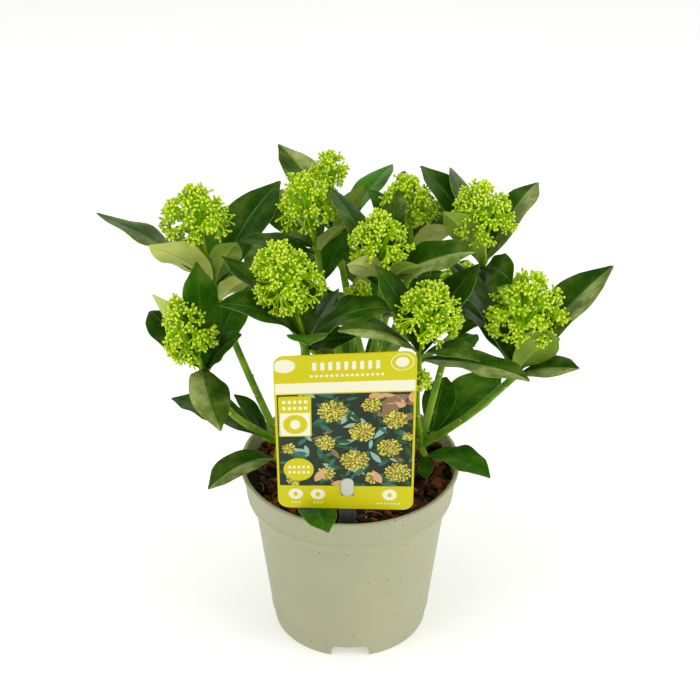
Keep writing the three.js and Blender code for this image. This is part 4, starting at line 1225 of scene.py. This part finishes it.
def print_marks(mesh):
    """Plain bands, blocks, dots, rings and drops around the picture and over its left side."""
    left, foot, width, height = PICTURE
    top = foot + height
    print_shape(mesh, rounded_rectangle(PRINTED[0], top + 0.9, PRINTED[2], 7.2, 0.2, 1), CREAM, 0)
    print_shape(mesh, rounded_rectangle(-36, top - 30, 17.6, 29, 0.5, 2), LIME, 12)
    print_shape(mesh, rounded_rectangle(-35.3, top - 29.4, 16.2, 16.6, 0.3, 2), CREAM, 13)
    print_shape(mesh, ellipse(-26, foot + 12.6, 8.4, 8.6), LIME, 12)
    for row in range(2):
        for i in range(5):
            block = rounded_rectangle(-33.9 + 2.9 * i, top - 6 - 4.4 * row, 1.8, 2.2, 0.2, 1)
            print_shape(mesh, block, CREAM, 13)
            block = rounded_rectangle(-31.8 + 2.6 * i, foot + 13.6 - 4 * row, 1.5, 1.9, 0.2, 1)
            print_shape(mesh, block, CREAM, 13)
    for i in range(9):
        print_shape(mesh, rounded_rectangle(-17.5 + 4.2 * i, 101.6, 2.2, 5.6, 0.5, 2), CREAM, 0)
    for i in range(15):
        print_shape(mesh, ellipse(-18 + 2.7 * i, 97.8, 0.85, 0.95, 0, 10), CREAM, 0)
    for x, z, wide, tall, kind, level in (
            (-27.2, top - 21.1, 6.6, 7, LIME, 14), (-27.2, top - 21.1, 2.8, 3.4, CREAM, 15),
            (-32.2, 105.4, 5.8, 4.7, CREAM, 0), (30.2, 105.4, 6.2, 5.6, CREAM, 0),
            (30.2, 105.4, 5.7, 5.1, LIME, 1), (30.2, 105.4, 3.6, 3.3, CREAM, 2)):
        print_shape(mesh, ellipse(x, z, wide, tall), kind, level)
    for x, dots_from, dots in ((-28, -30, 3), (-15.6, -17.6, 3), (24.6, 18, 7)):
        print_shape(mesh, ellipse(x, 11, 4.1, 4.1), CREAM, 0)
        print_shape(mesh, lozenge(x, 9, 4, 2.4, 90), LIME, 1)
        for i in range(dots):
            print_shape(mesh, ellipse(dots_from + 2 * i, 4.4, 0.6, 0.6, 0, 8), CREAM, 0)


def make_label(card_material, print_materials):
    """The card, and its printed design in front of it."""
    half = CARD_THICKNESS / 2
    card = bmesh.new()
    plate(card, rounded_rectangle(-CARD_WIDTH / 2, 0, CARD_WIDTH, CARD_HEIGHT, CARD_CORNER), -half, half)
    settle_on_card(card)
    dress(object_from(card, "label_sheet", [card_material], smooth=False), "label", "label_card")
    layers = bmesh.new()
    print_picture(layers)
    print_marks(layers)
    settle_on_card(layers)
    dress(object_from(layers, "label_print", print_materials, smooth=False), "label", "label_card")


def make_holder(stick_material, hook_material):
    """The clear stick behind the card, and the hook whose rounded tongue comes through the card's slot."""
    face = CARD_THICKNESS / 2 + GAP
    foot, tall = -STICK_LENGTH, STICK_LENGTH + STICK_TOP
    web_front = face + (STICK_DEPTH - STICK_WEB) / 2
    mesh = bmesh.new()

    def block(left, low, width, height, front, back):
        plate(mesh, rounded_rectangle(left, low, width, height, 0.25, 4), front, back)

    block(-STICK_WIDTH / 2, foot, STICK_WIDTH, tall, web_front, web_front + STICK_WEB)
    for side in (-1, 0, 1):
        left = (side * (STICK_WIDTH - STICK_WEB) - STICK_WEB) / 2
        block(left, foot, STICK_WEB, tall, face, face + STICK_DEPTH)
    block(-HOOK_WIDTH / 2, HOOK_FOOT, HOOK_WIDTH, SLOT_HEIGHT, -face - HOOK_THICKNESS / 2,
          web_front + STICK_WEB / 2)
    settle_on_card(mesh, bent=False)
    dress(object_from(mesh, "holder_stick", [stick_material], smooth=False), "holder", "label_holder")
    tongue = bmesh.new()
    outline = rounded_rectangle(-HOOK_WIDTH / 2, HOOK_FOOT, HOOK_WIDTH, HOOK_TOP - HOOK_FOOT, HOOK_CORNER)
    plate(tongue, outline, -face - HOOK_THICKNESS, -face)
    settle_on_card(tongue, bent=False)
    hook = object_from(tongue, "holder_hook", [hook_material], smooth=False)
    edge = hook.modifiers.new("edges", "BEVEL")
    edge.width = 0.4 * MM
    edge.segments = 3
    apply_modifiers(hook)
    sharpen(hook, 50)
    dress(hook, "holder", "label_holder")


# The studio

def make_camera():
    data = bpy.data.cameras.new("photo_camera")
    data.lens = CAMERA_LENS
    data.sensor_width = SENSOR_WIDTH
    data.clip_start = 0.01
    data.clip_end = 50
    camera = bpy.data.objects.new("photo_camera", data)
    camera.location = Vector(CAMERA_PLACE) * MM
    camera.rotation_euler = (math.radians(90 - CAMERA_PITCH), 0, 0)
    bpy.context.scene.collection.objects.link(camera)
    bpy.context.scene.camera = camera


def make_light(name, place, size, power, gloss):
    """A round lamp that faces the middle of the plant. Without gloss it shows in no reflection."""
    data = bpy.data.lights.new(name, "AREA")
    data.shape = "DISK"
    data.size = size
    data.energy = power
    lamp = bpy.data.objects.new(name, data)
    lamp.location = place
    lamp.visible_glossy = gloss
    lamp.rotation_mode = "QUATERNION"
    lamp.rotation_quaternion = (Vector(LIGHTS_MEET) - Vector(place)).to_track_quat("-Z", "Y")
    bpy.context.scene.collection.objects.link(lamp)


def make_sky():
    """A bright horizon and a darker sky."""
    world = bpy.data.worlds.new("studio")
    world.use_nodes = True
    tree = world.node_tree
    sky = node(tree, "ShaderNodeTexCoord")
    height = node(tree, "ShaderNodeSeparateXYZ")
    tree.links.new(sky.outputs["Generated"], height.inputs["Vector"])
    glow = ramp(tree, height.outputs["Z"], [(0.15, grey(1)), (0.7, grey(0.12))])
    tree.links.new(glow, tree.nodes["Background"].inputs["Color"])
    bpy.context.scene.world = world


def make_studio():
    make_camera()
    for light in LIGHTS:
        make_light(*light)
    bpy.context.scene.view_settings.view_transform = "Standard"
    make_sky()
    mesh = bmesh.new()
    bmesh.ops.create_grid(mesh, x_segments=1, y_segments=1, size=4000)
    made, tree, shader = material("floor_white", (246, 246, 244), 0.7, 0.2)
    whites = ramp(tree, object_noise(tree, 3, 2.0), [(0.3, srgb(245, 245, 243)), (0.7, srgb(248, 248, 247))])
    tree.links.new(whites, shader.inputs["Base Color"])
    shader.inputs["Emission Color"].default_value = grey(1)
    shader.inputs["Emission Strength"].default_value = 0.36
    floor = object_from(mesh, "floor", [made])


def leaf_materials():
    """The leaves' materials, in the order of their kinds."""
    made = [leaf_upper(name, *colours) for name, *colours in (
        ("leaf_deep_green", (24, 58, 2), (40, 82, 4), (84, 106, 36), (56, 98, 14)),
        ("leaf_green", (28, 76, 2), (50, 104, 6), (92, 124, 38), (70, 120, 20)),
        ("leaf_grey_green", (36, 66, 6), (64, 92, 20), (114, 130, 62), (78, 108, 32)),
        ("leaf_young_green", (36, 96, 4), (62, 124, 10), (100, 144, 40), (92, 140, 30)),
        # The fifth material paints a pale sheen over one half of a leaf: a painted reflection
        ("leaf_dusty", (56, 90, 14), (108, 126, 52), (164, 174, 106), (84, 114, 38), 0.5),
    )]
    made.append(mottled("leaf_midrib", [(60, 108, 24), (86, 134, 40)], 90, 0.45, specular=0.15))
    made.append(mottled("leaf_margin", [(96, 134, 44), (130, 160, 64)], 90, 0.45, specular=0.2))
    made += [mottled(name, colours, 60, 0.55, specular=0.2) for name, *colours in (
        ("leaf_under_olive", (190, 204, 96), (216, 222, 124)),
        ("leaf_under_grey", (176, 188, 96), (202, 208, 126)),
        ("leaf_under_green", (122, 154, 42), (154, 178, 68)),
    )]
    made.append(mottled("leaf_under_rib", [(166, 178, 76), (184, 194, 92)], 90, 0.5))
    return made


def build_plant():
    stem_green = mottled("stem_green", [(72, 122, 6), (108, 154, 18), (146, 176, 44)], 60, 0.42, 0.08, 0.12,
                         specular=0.2)
    scar = mottled("leaf_scar", [(186, 170, 92), (208, 192, 120)], 300, 0.7)
    bark = mottled("young_bark", [(92, 84, 42), (120, 110, 58), (74, 62, 36)], 150, 0.8, 0.06, 0.5, 420)
    # The faces round each bud's tip take a paler colour, a painted highlight
    bud, cup, tip, twig, pedicel = (
        mottled(name, colours, scale, roughness, 0.06, 0.05, specular=specular)
        for name, *colours, scale, roughness, specular in (
            ("bud_lime", (200, 228, 34), (222, 238, 60), 240, 0.42, 0.3),
            ("bud_cup", (156, 210, 8), (178, 220, 16), 240, 0.5, 0.2),
            ("bud_tip_highlight", (228, 239, 84), (237, 244, 116), 240, 0.4, 0.4),
            ("flower_twig", (134, 196, 6), (158, 208, 12), 200, 0.5, 0.12),
            ("flower_pedicel", (168, 218, 8), (190, 226, 20), 200, 0.5, 0.12),
        ))
    blades = leaf_materials()
    limbs, twigs, leaves, buds, masses = make_plant()
    dress(limbs.make("green_stems", [stem_green, scar]), "stem", *["stem_" + name for name in SHOOTS])
    wood = make_trunk().make("trunk_and_boughs", [bark])
    dress(wood, "bark", "trunk", *["bough_" + name for name in FORKS])
    for side in SIDES:
        headed = [name for name in masses[side] if name.startswith("foliage")]
        dress(leaves[side].make("leaves_" + side, blades), "foliage", *masses[side])
        dress(twigs[side].make("flower_twigs_" + side, [twig, pedicel]), "foliage", *headed)
        dress(buds[side].make("buds_" + side, [bud, cup, tip]), "foliage", *headed)


def build_pot():
    make_pot([specked("pot_plastic", [(166, 167, 134), (173, 173, 141)], (112, 108, 76), 0.5)])
    make_compost([mottled("peat", [(16, 8, 4), (34, 19, 11), (10, 5, 3)], 160, 0.85, 0.05, 1.2, 700, 0.25)])
    make_chips([mottled(name, colours, 220, roughness, 0.1, 0.4, 500, 0.3) for name, *colours, roughness in (
        ("bark_dark", (22, 11, 6), (42, 22, 12), 0.6),
        ("bark_red", (70, 30, 15), (98, 46, 24), 0.5),
        ("bark_brown", (88, 50, 28), (60, 32, 18), 0.55),
        ("bark_orange", (160, 86, 44), (124, 62, 30), 0.5),
    )] + [
        mottled("white_grit", [(214, 206, 190), (190, 180, 160)], 400, 0.7),
        mottled("fine_roots", [(150, 120, 82), (178, 150, 108)], 300, 0.7),
    ])


def build_label():
    lime = [(204, 196, 0), (210, 202, 6)]
    make_label(plastic("card_lime", lime, 0.4), [plastic(name, colours, 0.4) for name, *colours in (
        ("print_lime", *lime),
        ("print_cream", (236, 233, 202), (241, 238, 210)),
        ("print_dark", (26, 40, 28), (44, 58, 40)),
        ("print_teal", (46, 92, 82), (70, 120, 106)),
        ("print_leaf", (34, 74, 34), (54, 98, 44)),
        ("print_glint", (132, 172, 158), (160, 192, 172)),
        ("print_flower", (92, 100, 20), (124, 118, 30)),
        ("print_dot", (212, 208, 70), (228, 222, 104)),
        ("print_ochre", (196, 164, 66), (208, 178, 88)),
        ("print_warm", (206, 154, 108), (222, 174, 130)),
        ("print_earth", (126, 104, 68), (150, 122, 86)),
    )])
    make_holder(plastic("holder_clear_grey", [(92, 96, 96), (104, 108, 106)], 0.3),
                plastic("hook_clear_grey", [(190, 194, 182), (200, 204, 192)], 0.3))


make_studio()
build_plant()
build_pot()
build_label()
